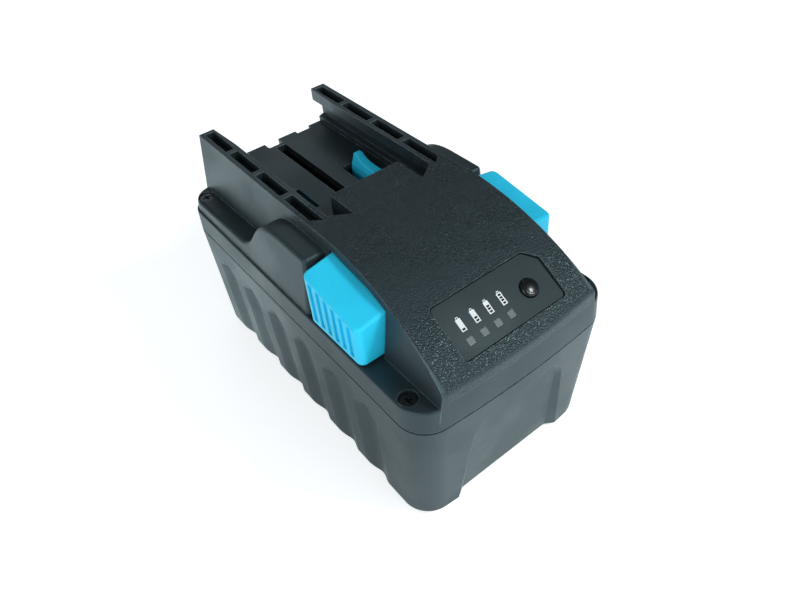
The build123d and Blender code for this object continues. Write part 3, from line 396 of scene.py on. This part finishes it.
def metal(name, colour, rough, metallic=1.0):
    """Drawn or rolled metal: fine lines in gloss and relief, and lighter edges."""
    mat, tree, shader, where = start_material(name)
    drift = use_group(tree, drift_group(), where, Patches_per_metre=120.0)
    lines = use_group(tree, brush_group(), where)
    worn_and_lit = use_group(tree, edge_group(), where, Width=METAL_EDGE)
    tone = blend(tree, drift.outputs["Drift"], tint(colour, 0.8), tint(colour, 1.05))
    tone = blend(tree, maths(tree, "MULTIPLY", worn_and_lit.outputs["Wear and highlight"], 0.7), tone, tint(colour, 3.0))
    join(tree, tone, shader.inputs["Base Color"])
    gloss = ramp(tree, lines.outputs["Lines"], 0.3, 0.7, rough - 0.08, rough + 0.08)
    join(tree, gloss, shader.inputs["Roughness"])
    shader.inputs["Metallic"].default_value = metallic
    relief = maths(tree, "MULTIPLY", lines.outputs["Lines"], LINE_DEPTH * RELIEF_SCALE)
    bump(tree, shader, relief, 1 / RELIEF_SCALE, 0.0001)
    return mat


def cell_wrap(name, colour):
    """Shrink sleeve with a pale ring and a bare metal pole at each end of every cell."""
    mat, tree, shader, where = start_material(name)
    split = place(tree, "ShaderNodeSeparateXYZ")
    join(tree, where, split.inputs[0])
    half = CELL_PITCH / 2
    across = maths(tree, "PINGPONG", maths(tree, "ADD", split.outputs[1], CELL_PITCH * 8), half)
    from_low = maths(tree, "ADD", split.outputs[2], CELL_PITCH * 8 - LOW_CELL_Z)
    upright = maths(tree, "PINGPONG", from_low, half)
    squares = maths(tree, "ADD", maths(tree, "MULTIPLY", across, across),
                    maths(tree, "MULTIPLY", upright, upright))
    radius = maths(tree, "SQRT", squares)
    at_end = ramp(tree, maths(tree, "ABSOLUTE", split.outputs[0]), *CELL_END)
    ring = maths(tree, "MULTIPLY", at_end, ramp(tree, radius, *RING_EDGE))
    pole = maths(tree, "MULTIPLY", at_end, ramp(tree, radius, *POLE_EDGE))
    drift = use_group(tree, drift_group(), where, Patches_per_metre=90.0)
    sleeve = blend(tree, drift.outputs["Drift"], tint(colour, 0.85), tint(colour, 1.1))
    tone = blend(tree, ring, sleeve, (0.72, 0.72, 0.70, 1.0))
    tone = blend(tree, pole, tone, (0.55, 0.54, 0.52, 1.0))
    join(tree, tone, shader.inputs["Base Color"])
    join(tree, pole, shader.inputs["Metallic"])
    join(tree, ramp(tree, drift.outputs["Mottle"], 0.0, 1.0, 0.28, 0.4), shader.inputs["Roughness"])
    bump(tree, shader, drift.outputs["Mottle"], 0.00002, 0.0002)
    return mat


def laminate(name, colour):
    """Printed board: solder mask over copper tracks, with small tinned pads."""
    mat, tree, shader, where = start_material(name)
    tracks = place(tree, "ShaderNodeTexVoronoi", feature="F1", distance="CHEBYCHEV")
    join(tree, where, tracks.inputs["Vector"])
    tracks.inputs["Scale"].default_value = 420.0
    tracks.inputs["Randomness"].default_value = 0.65
    copper = ramp(tree, tracks.outputs["Distance"], 0.38, 0.42)
    pad = ramp(tree, tracks.outputs["Distance"], 0.12, 0.09)
    drift = use_group(tree, drift_group(), where, Patches_per_metre=80.0)
    mask = blend(tree, drift.outputs["Drift"], tint(colour, 0.8), tint(colour, 1.15))
    tone = blend(tree, copper, mask, tint(colour, 1.9))
    tone = blend(tree, pad, tone, (0.62, 0.62, 0.60, 1.0))
    join(tree, tone, shader.inputs["Base Color"])
    join(tree, maths(tree, "MULTIPLY", pad, 0.9), shader.inputs["Metallic"])
    join(tree, ramp(tree, drift.outputs["Mottle"], 0.0, 1.0, 0.22, 0.36), shader.inputs["Roughness"])
    raised = maths(tree, "MULTIPLY_ADD", pad, 0.6, maths(tree, "MULTIPLY", copper, 0.4))
    bump(tree, shader, raised, 0.00005, 0.0001)
    return mat


def smoked_window(name, colour):
    """Smoked light window with a faint moulded diffuser grid below its face."""
    mat, tree, shader, where = start_material(name)
    grid = place(tree, "ShaderNodeTexVoronoi", feature="F1")
    join(tree, where, grid.inputs["Vector"])
    grid.inputs["Scale"].default_value = 2600.0
    grid.inputs["Randomness"].default_value = 0.3
    drift = use_group(tree, drift_group(), where, Patches_per_metre=300.0)
    mesh = ramp(tree, grid.outputs["Distance"], 0.1, 0.6)
    tone = blend(tree, mesh, tint(colour, 1.2), tint(colour, 0.8))
    tone = blend(tree, maths(tree, "MULTIPLY", drift.outputs["Drift"], 0.4), tone, tint(colour, 1.3))
    join(tree, tone, shader.inputs["Base Color"])
    join(tree, ramp(tree, drift.outputs["Mottle"], 0.0, 1.0, 0.3, 0.42), shader.inputs["Roughness"])
    bump(tree, shader, grid.outputs["Distance"], 0.00002, 0.0001)
    return mat


def dress(names, material):
    """Gives CAD nodes a material."""
    for name in names:
        node = frame["nodes"][name]
        node.data.materials.clear()
        node.data.materials.append(material)


def nodes_starting(*starts):
    return [name for name in frame["nodes"] if name.startswith(starts)]


def node_points(name):
    """The places of a CAD node's vertices."""
    node = frame["nodes"][name]
    return [node.matrix_world @ vertex.co for vertex in node.data.vertices]


# Modelling helpers

def clear_selection():
    """Leaves edit mode and deselects everything, because operators act on all that is selected."""
    if bpy.context.object and bpy.context.object.mode != "OBJECT":
        bpy.ops.object.mode_set(mode="OBJECT")
    bpy.ops.object.select_all(action="DESELECT")


def place_mesh(piece, matrix=None):
    """Moves a piece's place into its mesh, after a further move if one is given."""
    if matrix is not None:
        piece.matrix_world = matrix @ piece.matrix_world
    clear_selection()
    piece.select_set(True)
    bpy.context.view_layer.objects.active = piece
    bpy.ops.object.transform_apply(location=True, rotation=True, scale=True)


def settle(piece, name, matrix=None):
    """Names a piece and moves its place into its mesh."""
    piece.name = name
    piece.data.name = name
    place_mesh(piece, matrix)
    piece.data.materials.clear()


def apply_modifier(piece, kind, **values):
    modifier = piece.modifiers.new(kind.lower(), kind)
    for key, value in values.items():
        setattr(modifier, key, value)
    bpy.context.view_layer.objects.active = piece
    bpy.ops.object.modifier_apply(modifier=modifier.name)


def joint_named(name):
    return next(joint for joint in frame["record"]["behaviour"]["joints"] if joint["name"] == name)


def gauge_plane(name="gauge_panel"):
    """A node's frame on the gauge slope: up the slope, out of its face, and its face's middle."""
    out = -Vector(joint_named("gauge_key_press")["axis"]).normalized()
    across = Vector((1.0, 0.0, 0.0))
    up = out.cross(across)
    points = node_points(name)
    face = max(out.dot(point) for point in points)
    rim = [point for point in points if out.dot(point) > face - FACE_SLACK]
    middle = out * face
    for axis in (across, up):
        places = [axis.dot(point) for point in rim]
        middle += axis * (min(places) + max(places)) / 2
    return up, out, middle


def slope_turn(up, out):
    """Turns a piece made flat on the ground onto the gauge slope."""
    return Matrix((Vector((1, 0, 0)), up, out)).transposed().to_4x4()


def select_none(kind):
    """Leaves the mesh in object mode with nothing selected, and edit mode set to pick this kind."""
    bpy.ops.object.mode_set(mode="EDIT")
    bpy.ops.mesh.select_mode(type=kind)
    bpy.ops.mesh.select_all(action="DESELECT")
    bpy.ops.object.mode_set(mode="OBJECT")


def delete_selected(kind):
    """Deletes what is selected in the active mesh, which is left in edit mode."""
    bpy.ops.object.mode_set(mode="EDIT")
    bpy.ops.mesh.delete(type=kind)


# Settings

def colour_setting(name, description, default):
    return FloatVectorProperty(name=name, description=description, subtype="COLOR", size=3,
                               min=0.0, max=1.0, default=default)


def length_setting(name, description, default):
    return FloatProperty(name=name, description=description, unit="LENGTH", subtype="DISTANCE",
                         precision=5, default=default)


def power_setting(name, description, default):
    return FloatProperty(name=name, description=description, subtype="POWER", default=default)


class PACK_PG_finishes(bpy.types.PropertyGroup):
    case: colour_setting("Case", "Colour of the case and rails", (0.0175, 0.0250, 0.0300))
    latch: colour_setting("Latches", "Colour of the release latches", (0.026, 0.60, 0.90))
    panel: colour_setting("Gauge plate", "Colour of the gauge plate", (0.014, 0.019, 0.022))
    button: colour_setting("Gauge button", "Colour of the gauge button", (0.004, 0.005, 0.006))
    window: colour_setting("Light windows", "Colour of the unlit windows", (0.085, 0.106, 0.112))
    sleeve: colour_setting("Cell sleeve", "Colour of the cells' sleeves", (0.03, 0.20, 0.36))
    grain_depth: length_setting("Grain depth", "Depth of the roof's grain", 0.00021)
    grain_cell: length_setting("Grain cell", "Width of one cell of the roof's grain", 0.00048)


class PACK_PG_print(bpy.types.PropertyGroup):
    width: length_setting("Icon width", "Width of a charge icon", 0.0018)
    height: length_setting("Icon height", "Height of a charge icon", 0.00475)
    first_x: length_setting("First icon", "First icon's place from the plate's middle", -0.0147)
    pitch: length_setting("Icon pitch", "Step from icon to icon", 0.0054)
    up_slope: length_setting("Icon place", "Height of the icons' middle on the plate", 0.00085)
    thickness: length_setting("Print thickness", "Thickness of the print", 0.00006)
    colour: colour_setting("Print", "Colour of the print", (0.80, 0.82, 0.82))


class PACK_PG_crown(bpy.types.PropertyGroup):
    reach: length_setting("Crown radius", "Radius of the button's domed crown", 0.0026)
    rise: length_setting("Crown height", "Height of the crown above the button's flat top", 0.00025)
    drop: length_setting("Crown rim", "How far the crown's rim lies below the flat top", 0.00013)


class PACK_PG_springs(bpy.types.PropertyGroup):
    wire: length_setting("Wire", "Diameter of the springs' wire", 0.0006)
    button_wire: length_setting("Button wire", "Diameter of the button spring's wire", 0.0003)
    turns: IntProperty(name="Turns", description="Turns of a release spring", default=7, min=2)
    button_turns: IntProperty(name="Button turns", description="Turns of the button spring",
                              default=4, min=2)
    release_travel: length_setting("Release travel", "How far a release latch presses in", 0.0025)
    button_travel: length_setting("Button travel", "How far the gauge button presses in", 0.0004)


class PACK_PG_stage(bpy.types.PropertyGroup):
    floor: colour_setting("Floor", "Colour of the floor", (0.86, 0.87, 0.88))
    key: power_setting("Key light", "Power of the key light", 3.2)
    fill: power_setting("Fill light", "Power of the fill light", 2.9)
    slope: power_setting("Slope light", "Power of the light that the gauge slope mirrors", 3.7)
    rim: power_setting("Rear light", "Power of the rear light", 0.6)
    side: power_setting("Side light", "Power of the light behind the left side", 0.6)
    sky: FloatProperty(name="Sky", description="Strength of the even light", default=0.27)
    glint: FloatProperty(name="Sky in gloss", description="Strength of the sky in reflections",
                         default=0.085)
    focal: FloatProperty(name="Lens", description="Focal length", unit="CAMERA", default=31.279)


# Operators

class PACK_OT_case(bpy.types.Operator):
    """Finish the upper and lower case: smooth skirt and rails, grained roof"""
    bl_idname = "pack.finish_case"
    bl_label = "Case"

    def execute(self, context):
        look = context.scene.pack_finishes
        # The upper case paints a highlight on its edges, glints on the grain's tips and shade in its
        # hollows.
        case = plastic("case_moulding", look.case, 0.42, wear_and_highlight=0.9, specular=0.6, gloss_tint=COOL_GLOSS,
                       zone=ROOF_ZONE, grain_depth=look.grain_depth, cells_per_metre=1 / look.grain_cell,
                       grain_rough=-0.14, grain_glint=0.15, painted_hollow_shade=0.85)
        dress(["upper_case"], case)
        dress(["lower_case"], plastic("lower_moulding", look.case, 0.42, wear_and_highlight=0.2, specular=0.6,
                                      gloss_tint=COOL_GLOSS, mottle_depth=0.000008))
        return {"FINISHED"}


class PACK_OT_latches(bpy.types.Operator):
    """Finish the two release latches in bright blue"""
    bl_idname = "pack.finish_latches"
    bl_label = "Release latches"

    def execute(self, context):
        look = context.scene.pack_finishes
        blue = plastic("latch_moulding", look.latch, 0.36, wear_and_highlight=0.12, specular=0.22,
                       mottle_depth=0.000007, soft_edge=0.0003)
        shader = blue.node_tree.nodes["Principled BSDF"]
        shader.inputs["Subsurface Weight"].default_value = 0.12
        shader.inputs["Subsurface Radius"].default_value = (0.2, 0.6, 1.0)
        shader.inputs["Subsurface Scale"].default_value = 0.002
        dress(nodes_starting("release_latch"), blue)
        return {"FINISHED"}


class PACK_OT_gauge(bpy.types.Operator):
    """Finish the gauge plate, its button and its light windows"""
    bl_idname = "pack.finish_gauge"
    bl_label = "Charge gauge"

    def execute(self, context):
        look = context.scene.pack_finishes
        dress(["gauge_panel"], plastic("gauge_plate", look.panel, 0.40, wear_and_highlight=0.2, specular=0.34,
                                       gloss_tint=(0.75, 0.96, 1.0), mottle_depth=0.000004))
        dress(["gauge_button"], plastic("gauge_key", look.button, 0.22, wear_and_highlight=0.05, specular=0.3,
                                        coat=0.3, mottle_depth=0.000002))
        dress(nodes_starting("led_window"), smoked_window("light_window", look.window))
        return {"FINISHED"}


class PACK_OT_inside(bpy.types.Operator):
    """Finish the cells, strips, boards, holders and screws"""
    bl_idname = "pack.finish_inside"
    bl_label = "Inside"

    def execute(self, context):
        look = context.scene.pack_finishes
        dress(nodes_starting("cell_0", "cell_1"), cell_wrap("cell_sleeve", look.sleeve))
        dress(nodes_starting("nickel_", "lead_", "contact_"),
              metal("nickel_strip", (0.62, 0.59, 0.54), 0.3))
        dress(["terminal_block"],
              plastic("terminal_moulding", (0.006, 0.007, 0.008), 0.5, specular=0.15))
        dress(nodes_starting("cell_holder"),
              plastic("frame_moulding", (0.05, 0.05, 0.052), 0.5, specular=0.4))
        dress(nodes_starting("end_insulator"),
              plastic("fibre_card", (0.50, 0.46, 0.34), 0.75, specular=0.2, mottle_depth=0.00002))
        dress(["main_board", "gauge_board"], laminate("board_laminate", (0.015, 0.13, 0.06)))
        dress(["heat_spreader"], metal("milled_aluminium", (0.70, 0.71, 0.73), 0.36))
        dress(["case_screws", "gauge_screws", "board_screws"],
              metal("black_oxide", (0.060, 0.064, 0.068), 0.26, metallic=0.8))
        dress(["gauge_leds"], plastic("lamp_resin", (0.75, 0.74, 0.66), 0.3, specular=0.5))
        dress(["power_transistors", "control_chip", "thermistor", "gauge_switch", "gauge_ribbon"],
              plastic("chip_resin", (0.02, 0.02, 0.022), 0.55, specular=0.35, mottle_depth=0.00001))
        return {"FINISHED"}


class PACK_OT_print(bpy.types.Operator):
    """Model the four plain charge icons printed on the gauge plate"""
    bl_idname = "pack.make_print"
    bl_label = "Gauge print"

    def execute(self, context):
        made = context.scene.pack_print
        white = plastic("gauge_print", made.colour, 0.5, wear_and_highlight=0.0, specular=0.3,
                        mottle_depth=0.000002, soft_edge=0.0)
        black = plastic("gauge_ink", (0.004, 0.005, 0.006), 0.5, wear_and_highlight=0.0, specular=0.1,
                        mottle_depth=0.000002, soft_edge=0.0)
        up, out, middle = gauge_plane()
        columns, rows = ICON_GRID
        for count in range(1, ICON_COUNT + 1):
            clear_selection()
            bpy.ops.mesh.primitive_grid_add(x_subdivisions=columns, y_subdivisions=rows, size=1.0)
            icon = bpy.context.object
            icon.scale = (made.width, made.height, 1.0)
            settle(icon, f"gauge_icon_{count}")
            select_none("FACE")
            icon.data.materials.append(white)
            icon.data.materials.append(black)
            for face in icon.data.polygons:
                column = math.floor((face.center.x / made.width + 0.5) * columns)
                row = math.floor((face.center.y / made.height + 0.5) * rows)
                ink = icon_ink(column, row, count)
                face.select = ink is None
                face.material_index = ink or 0
            delete_selected("FACE")
            bpy.ops.object.mode_set(mode="OBJECT")
            apply_modifier(icon, "SOLIDIFY", thickness=made.thickness, offset=1.0)
            across = made.first_x + (count - 1) * made.pitch
            spot = middle + Vector((across, 0.0, 0.0)) + up * made.up_slope
            place_mesh(icon, Matrix.Translation(spot) @ slope_turn(up, out))
            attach(icon, "pack")
        return {"FINISHED"}


def icon_ink(column, row, count):
    """Ink of a small square of an icon: 0 pale body and nub outline, 1 dark cell, None left bare."""
    if row >= NUB_TOP_ROW:
        return 0 if NUB_COLUMNS[0] <= column <= NUB_COLUMNS[1] else None
    if row >= NUB_ROW:
        return 0 if column in NUB_WALLS else None
    for cell in range(count):
        foot = round(INK_FOOT + cell * INK_STEP)
        if foot <= row < foot + INK_ROWS and INK_COLUMNS[0] <= column <= INK_COLUMNS[1]:
            return 1
    return 0


class PACK_OT_crown(bpy.types.Operator):
    """Model the domed crown of the gauge button: a thin lens cut from a sphere"""
    bl_idname = "pack.make_crown"
    bl_label = "Button crown"

    def execute(self, context):
        made = context.scene.pack_crown
        up, out, middle = gauge_plane("gauge_button")
        radius = (made.reach ** 2 + (made.rise + made.drop) ** 2) / (made.rise + made.drop) / 2
        ring_count = round(CROWN_RINGS * math.pi / math.asin(made.reach / radius))
        clear_selection()
        bpy.ops.mesh.primitive_uv_sphere_add(segments=CROWN_SEGMENTS, ring_count=ring_count,
                                             radius=radius, location=(0, 0, made.rise - radius))
        crown = bpy.context.object
        settle(crown, "button_crown")
        select_none("VERT")
        rim = made.rise - radius * (1 - math.cos((CROWN_RINGS + 0.5) * math.pi / ring_count))
        for vertex in crown.data.vertices:
            vertex.select = vertex.co.z < rim
        delete_selected("VERT")
        close_mesh()
        settle(crown, "button_crown", Matrix.Translation(middle) @ slope_turn(up, out))
        crown.data.materials.append(bpy.data.materials["gauge_key"])
        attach(crown, "gauge_key")
        return {"FINISHED"}


def close_mesh():
    """Fills the open ends of the mesh in edit mode, and smooths it."""
    bpy.ops.mesh.select_all(action="DESELECT")
    bpy.ops.mesh.select_non_manifold()
    bpy.ops.mesh.edge_face_add()
    bpy.ops.mesh.select_all(action="SELECT")
    bpy.ops.mesh.normals_make_consistent(inside=False)
    bpy.ops.object.mode_set(mode="OBJECT")
    bpy.ops.object.shade_smooth_by_angle(angle=SMOOTH_ANGLE)


class PACK_OT_springs(bpy.types.Operator):
    """Model the wound release springs and the gauge button's spring"""
    bl_idname = "pack.make_springs"
    bl_label = "Springs"

    def execute(self, context):
        made = context.scene.pack_springs
        steel = metal("spring_wire", (0.58, 0.58, 0.60), 0.28)
        press = Vector(joint_named("gauge_key_press")["axis"]).normalized()
        for coil_name, node, joint, push, travel, wire, turns in (
            ("release_coil_left", "release_spring_left", "left_release_slide", Vector((1, 0, 0)),
             made.release_travel, made.wire, made.turns),
            ("release_coil_right", "release_spring_right", "right_release_slide", Vector((-1, 0, 0)),
             made.release_travel, made.wire, made.turns),
            ("button_coil", "gauge_button_spring", "gauge_key_press", press,
             made.button_travel, made.button_wire, made.button_turns),
        ):
            coil, far_end, length = wind(coil_name, node, push, wire, turns)
            coil.data.materials.append(steel)
            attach(coil, "pack")
            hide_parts(node)
            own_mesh(coil)
        return {"FINISHED"}


def wind(name, node, push, wire, turns):
    """A coil of round wire in a spring's place, its fixed end, where the push goes, and its length."""
    points = node_points(node)
    turn = push.to_track_quat("Z", "Y").to_matrix()
    spans = []
    for axis in turn.transposed():
        places = [axis.dot(point) for point in points]
        spans.append((min(places), max(places)))
    length = spans[2][1] - spans[2][0]
    radius = (spans[0][1] - spans[0][0] - wire) / 2
    clear_selection()
    bpy.ops.mesh.primitive_circle_add(vertices=WIRE_SIDES, radius=wire / 2, location=(radius, 0, 0),
                                      rotation=(math.pi / 2, 0, 0), fill_type="NOTHING")
    coil = bpy.context.object
    settle(coil, name)
    steps = STEPS_PER_TURN * turns
    apply_modifier(coil, "SCREW", axis="Z", angle=2 * math.pi * turns, steps=steps,
                   render_steps=steps, screw_offset=length - wire, use_merge_vertices=False)
    bpy.ops.object.mode_set(mode="EDIT")
    bpy.ops.mesh.select_mode(type="VERT")
    close_mesh()
    middle = turn @ Vector([(low + high) / 2 for low, high in spans])
    start = middle - push * (length - wire) / 2
    settle(coil, name, Matrix.Translation(start) @ turn.to_4x4())
    return coil, middle + push * length / 2, length


class PACK_OT_stage(bpy.types.Operator):
    """Set up the pale floor, soft lights and camera"""
    bl_idname = "pack.make_stage"
    bl_label = "Studio"

    def execute(self, context):
        made = context.scene.pack_stage
        clear_selection()
        bpy.ops.mesh.primitive_plane_add(size=FLOOR_SIZE, location=(0, 0, -FLOOR_GAP))
        floor = bpy.context.object
        settle(floor, "studio_floor")
        floor.data.materials.append(floor_material(made.floor))
        soft_light("key_light", (-0.80, -0.30, 0.40), made.key, 0.7)
        soft_light("fill_light", (0.10, -0.95, 0.35), made.fill, 0.8)
        soft_light("slope_light", (0.40, -0.60, 0.72), made.slope, 0.2)
        soft_light("rear_light", (0.35, 0.80, 0.70), made.rim, 0.6)
        soft_light("side_light", (-0.70, 0.65, 0.65), made.side, 0.6)
        world_light(made.sky, made.glint)
        photo_camera(made.focal)
        return {"FINISHED"}


def floor_material(colour):
    """Pale floor that glows: white to the camera, softer to the object, and uneven in its gloss."""
    mat, tree, shader, where = start_material("pale_floor")
    drift = use_group(tree, drift_group(), where, Patches_per_metre=3.0)
    tone = blend(tree, drift.outputs["Drift"], tint(colour, 0.99), tint(colour, 1.0))
    join(tree, tone, shader.inputs["Base Color"])
    shader.inputs["Roughness"].default_value = 0.8
    shader.inputs["Specular IOR Level"].default_value = 0.1
    path = place(tree, "ShaderNodeLightPath")
    shown = maths(tree, "ADD", path.outputs["Is Camera Ray"], path.outputs["Is Transmission Ray"],
                  clamp=True)
    away = place(tree, "ShaderNodeVectorMath", operation="NORMALIZE")
    join(tree, where, away.inputs[0])
    sides = []
    for toward in (DARK_SIDE, BRIGHT_SIDE):
        facing = place(tree, "ShaderNodeVectorMath", operation="DOT_PRODUCT")
        join(tree, away.outputs[0], facing.inputs[0])
        facing.inputs[1].default_value = toward
        sides.append(facing.outputs["Value"])
    mirrored = ramp(tree, sides[0], 0.40, 0.95, GLOW_GLOSS - GLOW_SPREAD, GLOW_DARK - GLOW_SPREAD)
    mirrored = maths(tree, "ADD", mirrored, ramp(tree, sides[1], 0.50, 0.95, 0.0, GLOW_BRIGHT))
    strength = maths(tree, "MULTIPLY_ADD", path.outputs["Is Glossy Ray"], mirrored, GLOW_SPREAD)
    strength = maths(tree, "MULTIPLY_ADD", shown, GLOW_SEEN - GLOW_SPREAD, strength)
    glow = place(tree, "ShaderNodeEmission")
    join(tree, blend(tree, shown, FLOOR_TINT, WHITE), glow.inputs["Color"])
    join(tree, strength, glow.inputs["Strength"])
    both = place(tree, "ShaderNodeAddShader")
    join(tree, shader.outputs[0], both.inputs[0])
    join(tree, glow.outputs[0], both.inputs[1])
    join(tree, both.outputs[0], tree.nodes["Material Output"].inputs["Surface"])
    return mat


def soft_light(name, at, power, size):
    """A round area light, aimed at the middle of the pack."""
    lamp = bpy.data.lights.new(name, "AREA")
    lamp.shape = "DISK"
    lamp.size = size
    lamp.energy = power
    lamp.color = LAMP_TINT
    piece = bpy.data.objects.new(name, lamp)
    bpy.context.scene.collection.objects.link(piece)
    aim = Vector(LAMP_AIM) - Vector(at)
    piece.matrix_world = Matrix.Translation(at) @ aim.to_track_quat("-Z", "Y").to_matrix().to_4x4()


def world_light(sky, glint):
    """Even sky, white to the camera, weaker in gloss, and as bright as the floor through windows."""
    world = bpy.data.worlds.new("studio_air")
    world.use_nodes = True
    tree = world.node_tree
    tree.nodes.clear()
    path = place(tree, "ShaderNodeLightPath")
    shown = maths(tree, "MULTIPLY_ADD", path.outputs["Is Camera Ray"], 1.0 - sky, sky)
    glossy = maths(tree, "MULTIPLY_ADD", path.outputs["Is Glossy Ray"], glint - sky, shown)
    clear = maths(tree, "MULTIPLY_ADD", path.outputs["Is Transmission Ray"], GLOW_SEEN - sky, glossy)
    air = place(tree, "ShaderNodeBackground")
    tone = blend(tree, path.outputs["Is Camera Ray"], SKY_TINT, WHITE)
    join(tree, tone, air.inputs["Color"])
    join(tree, clear, air.inputs["Strength"])
    join(tree, air.outputs[0], place(tree, "ShaderNodeOutputWorld").inputs["Surface"])
    bpy.context.scene.world = world


def photo_camera(focal):
    """The camera solved from the photograph."""
    azimuth, elevation, roll = (math.radians(angle) for angle in CAMERA_ANGLES)
    back = Vector((math.sin(azimuth) * math.cos(elevation), -math.cos(azimuth) * math.cos(elevation),
                   math.sin(elevation)))
    right = (-back).cross(Vector((0, 0, 1))).normalized()
    up = right.cross(-back)
    across = math.cos(roll) * right + math.sin(roll) * up
    upright = -math.sin(roll) * right + math.cos(roll) * up
    eye = Vector(CAMERA_TARGET) + back * CAMERA_DISTANCE
    lens = bpy.data.cameras.new("photo_camera")
    lens.lens = focal
    lens.sensor_width = 36.0
    lens.clip_start = 0.005
    lens.clip_end = 20.0
    piece = bpy.data.objects.new("photo_camera", lens)
    bpy.context.scene.collection.objects.link(piece)
    turn = Matrix((across, upright, back)).transposed().to_4x4()
    piece.matrix_world = Matrix.Translation(eye) @ turn
    bpy.context.scene.camera = piece
    bpy.context.scene.view_settings.view_transform = "Standard"


# Panel and start

STEPS = (PACK_OT_case, PACK_OT_latches, PACK_OT_gauge, PACK_OT_inside, PACK_OT_print, PACK_OT_crown,
         PACK_OT_springs, PACK_OT_stage)
SETTINGS = (("pack_finishes", PACK_PG_finishes), ("pack_print", PACK_PG_print),
            ("pack_crown", PACK_PG_crown), ("pack_springs", PACK_PG_springs),
            ("pack_stage", PACK_PG_stage))


class PACK_PT_sidebar(bpy.types.Panel):
    """Sizes, colours and steps of the battery pack"""
    bl_idname = "PACK_PT_sidebar"
    bl_label = "Battery pack"
    bl_space_type = "VIEW_3D"
    bl_region_type = "UI"
    bl_category = "Battery pack"

    def draw(self, context):
        for name, group in SETTINGS:
            box = self.layout.box()
            for field in group.__annotations__:
                box.prop(getattr(context.scene, name), field)
        for step in STEPS:
            self.layout.operator(step.bl_idname)


def register():
    for name, group in SETTINGS:
        bpy.utils.register_class(group)
        setattr(bpy.types.Scene, name, PointerProperty(type=group))
    for step in STEPS:
        bpy.utils.register_class(step)
    bpy.utils.register_class(PACK_PT_sidebar)


def unregister():
    bpy.utils.unregister_class(PACK_PT_sidebar)
    for step in reversed(STEPS):
        bpy.utils.unregister_class(step)
    for name, group in reversed(SETTINGS):
        delattr(bpy.types.Scene, name)
        bpy.utils.unregister_class(group)


def main():
    register()
    bpy.ops.pack.finish_case()
    bpy.ops.pack.finish_latches()
    bpy.ops.pack.finish_gauge()
    bpy.ops.pack.finish_inside()
    bpy.ops.pack.make_print()
    bpy.ops.pack.make_crown()
    bpy.ops.pack.make_springs()
    bpy.ops.pack.make_stage()


if __name__ == "__main__":
    main()
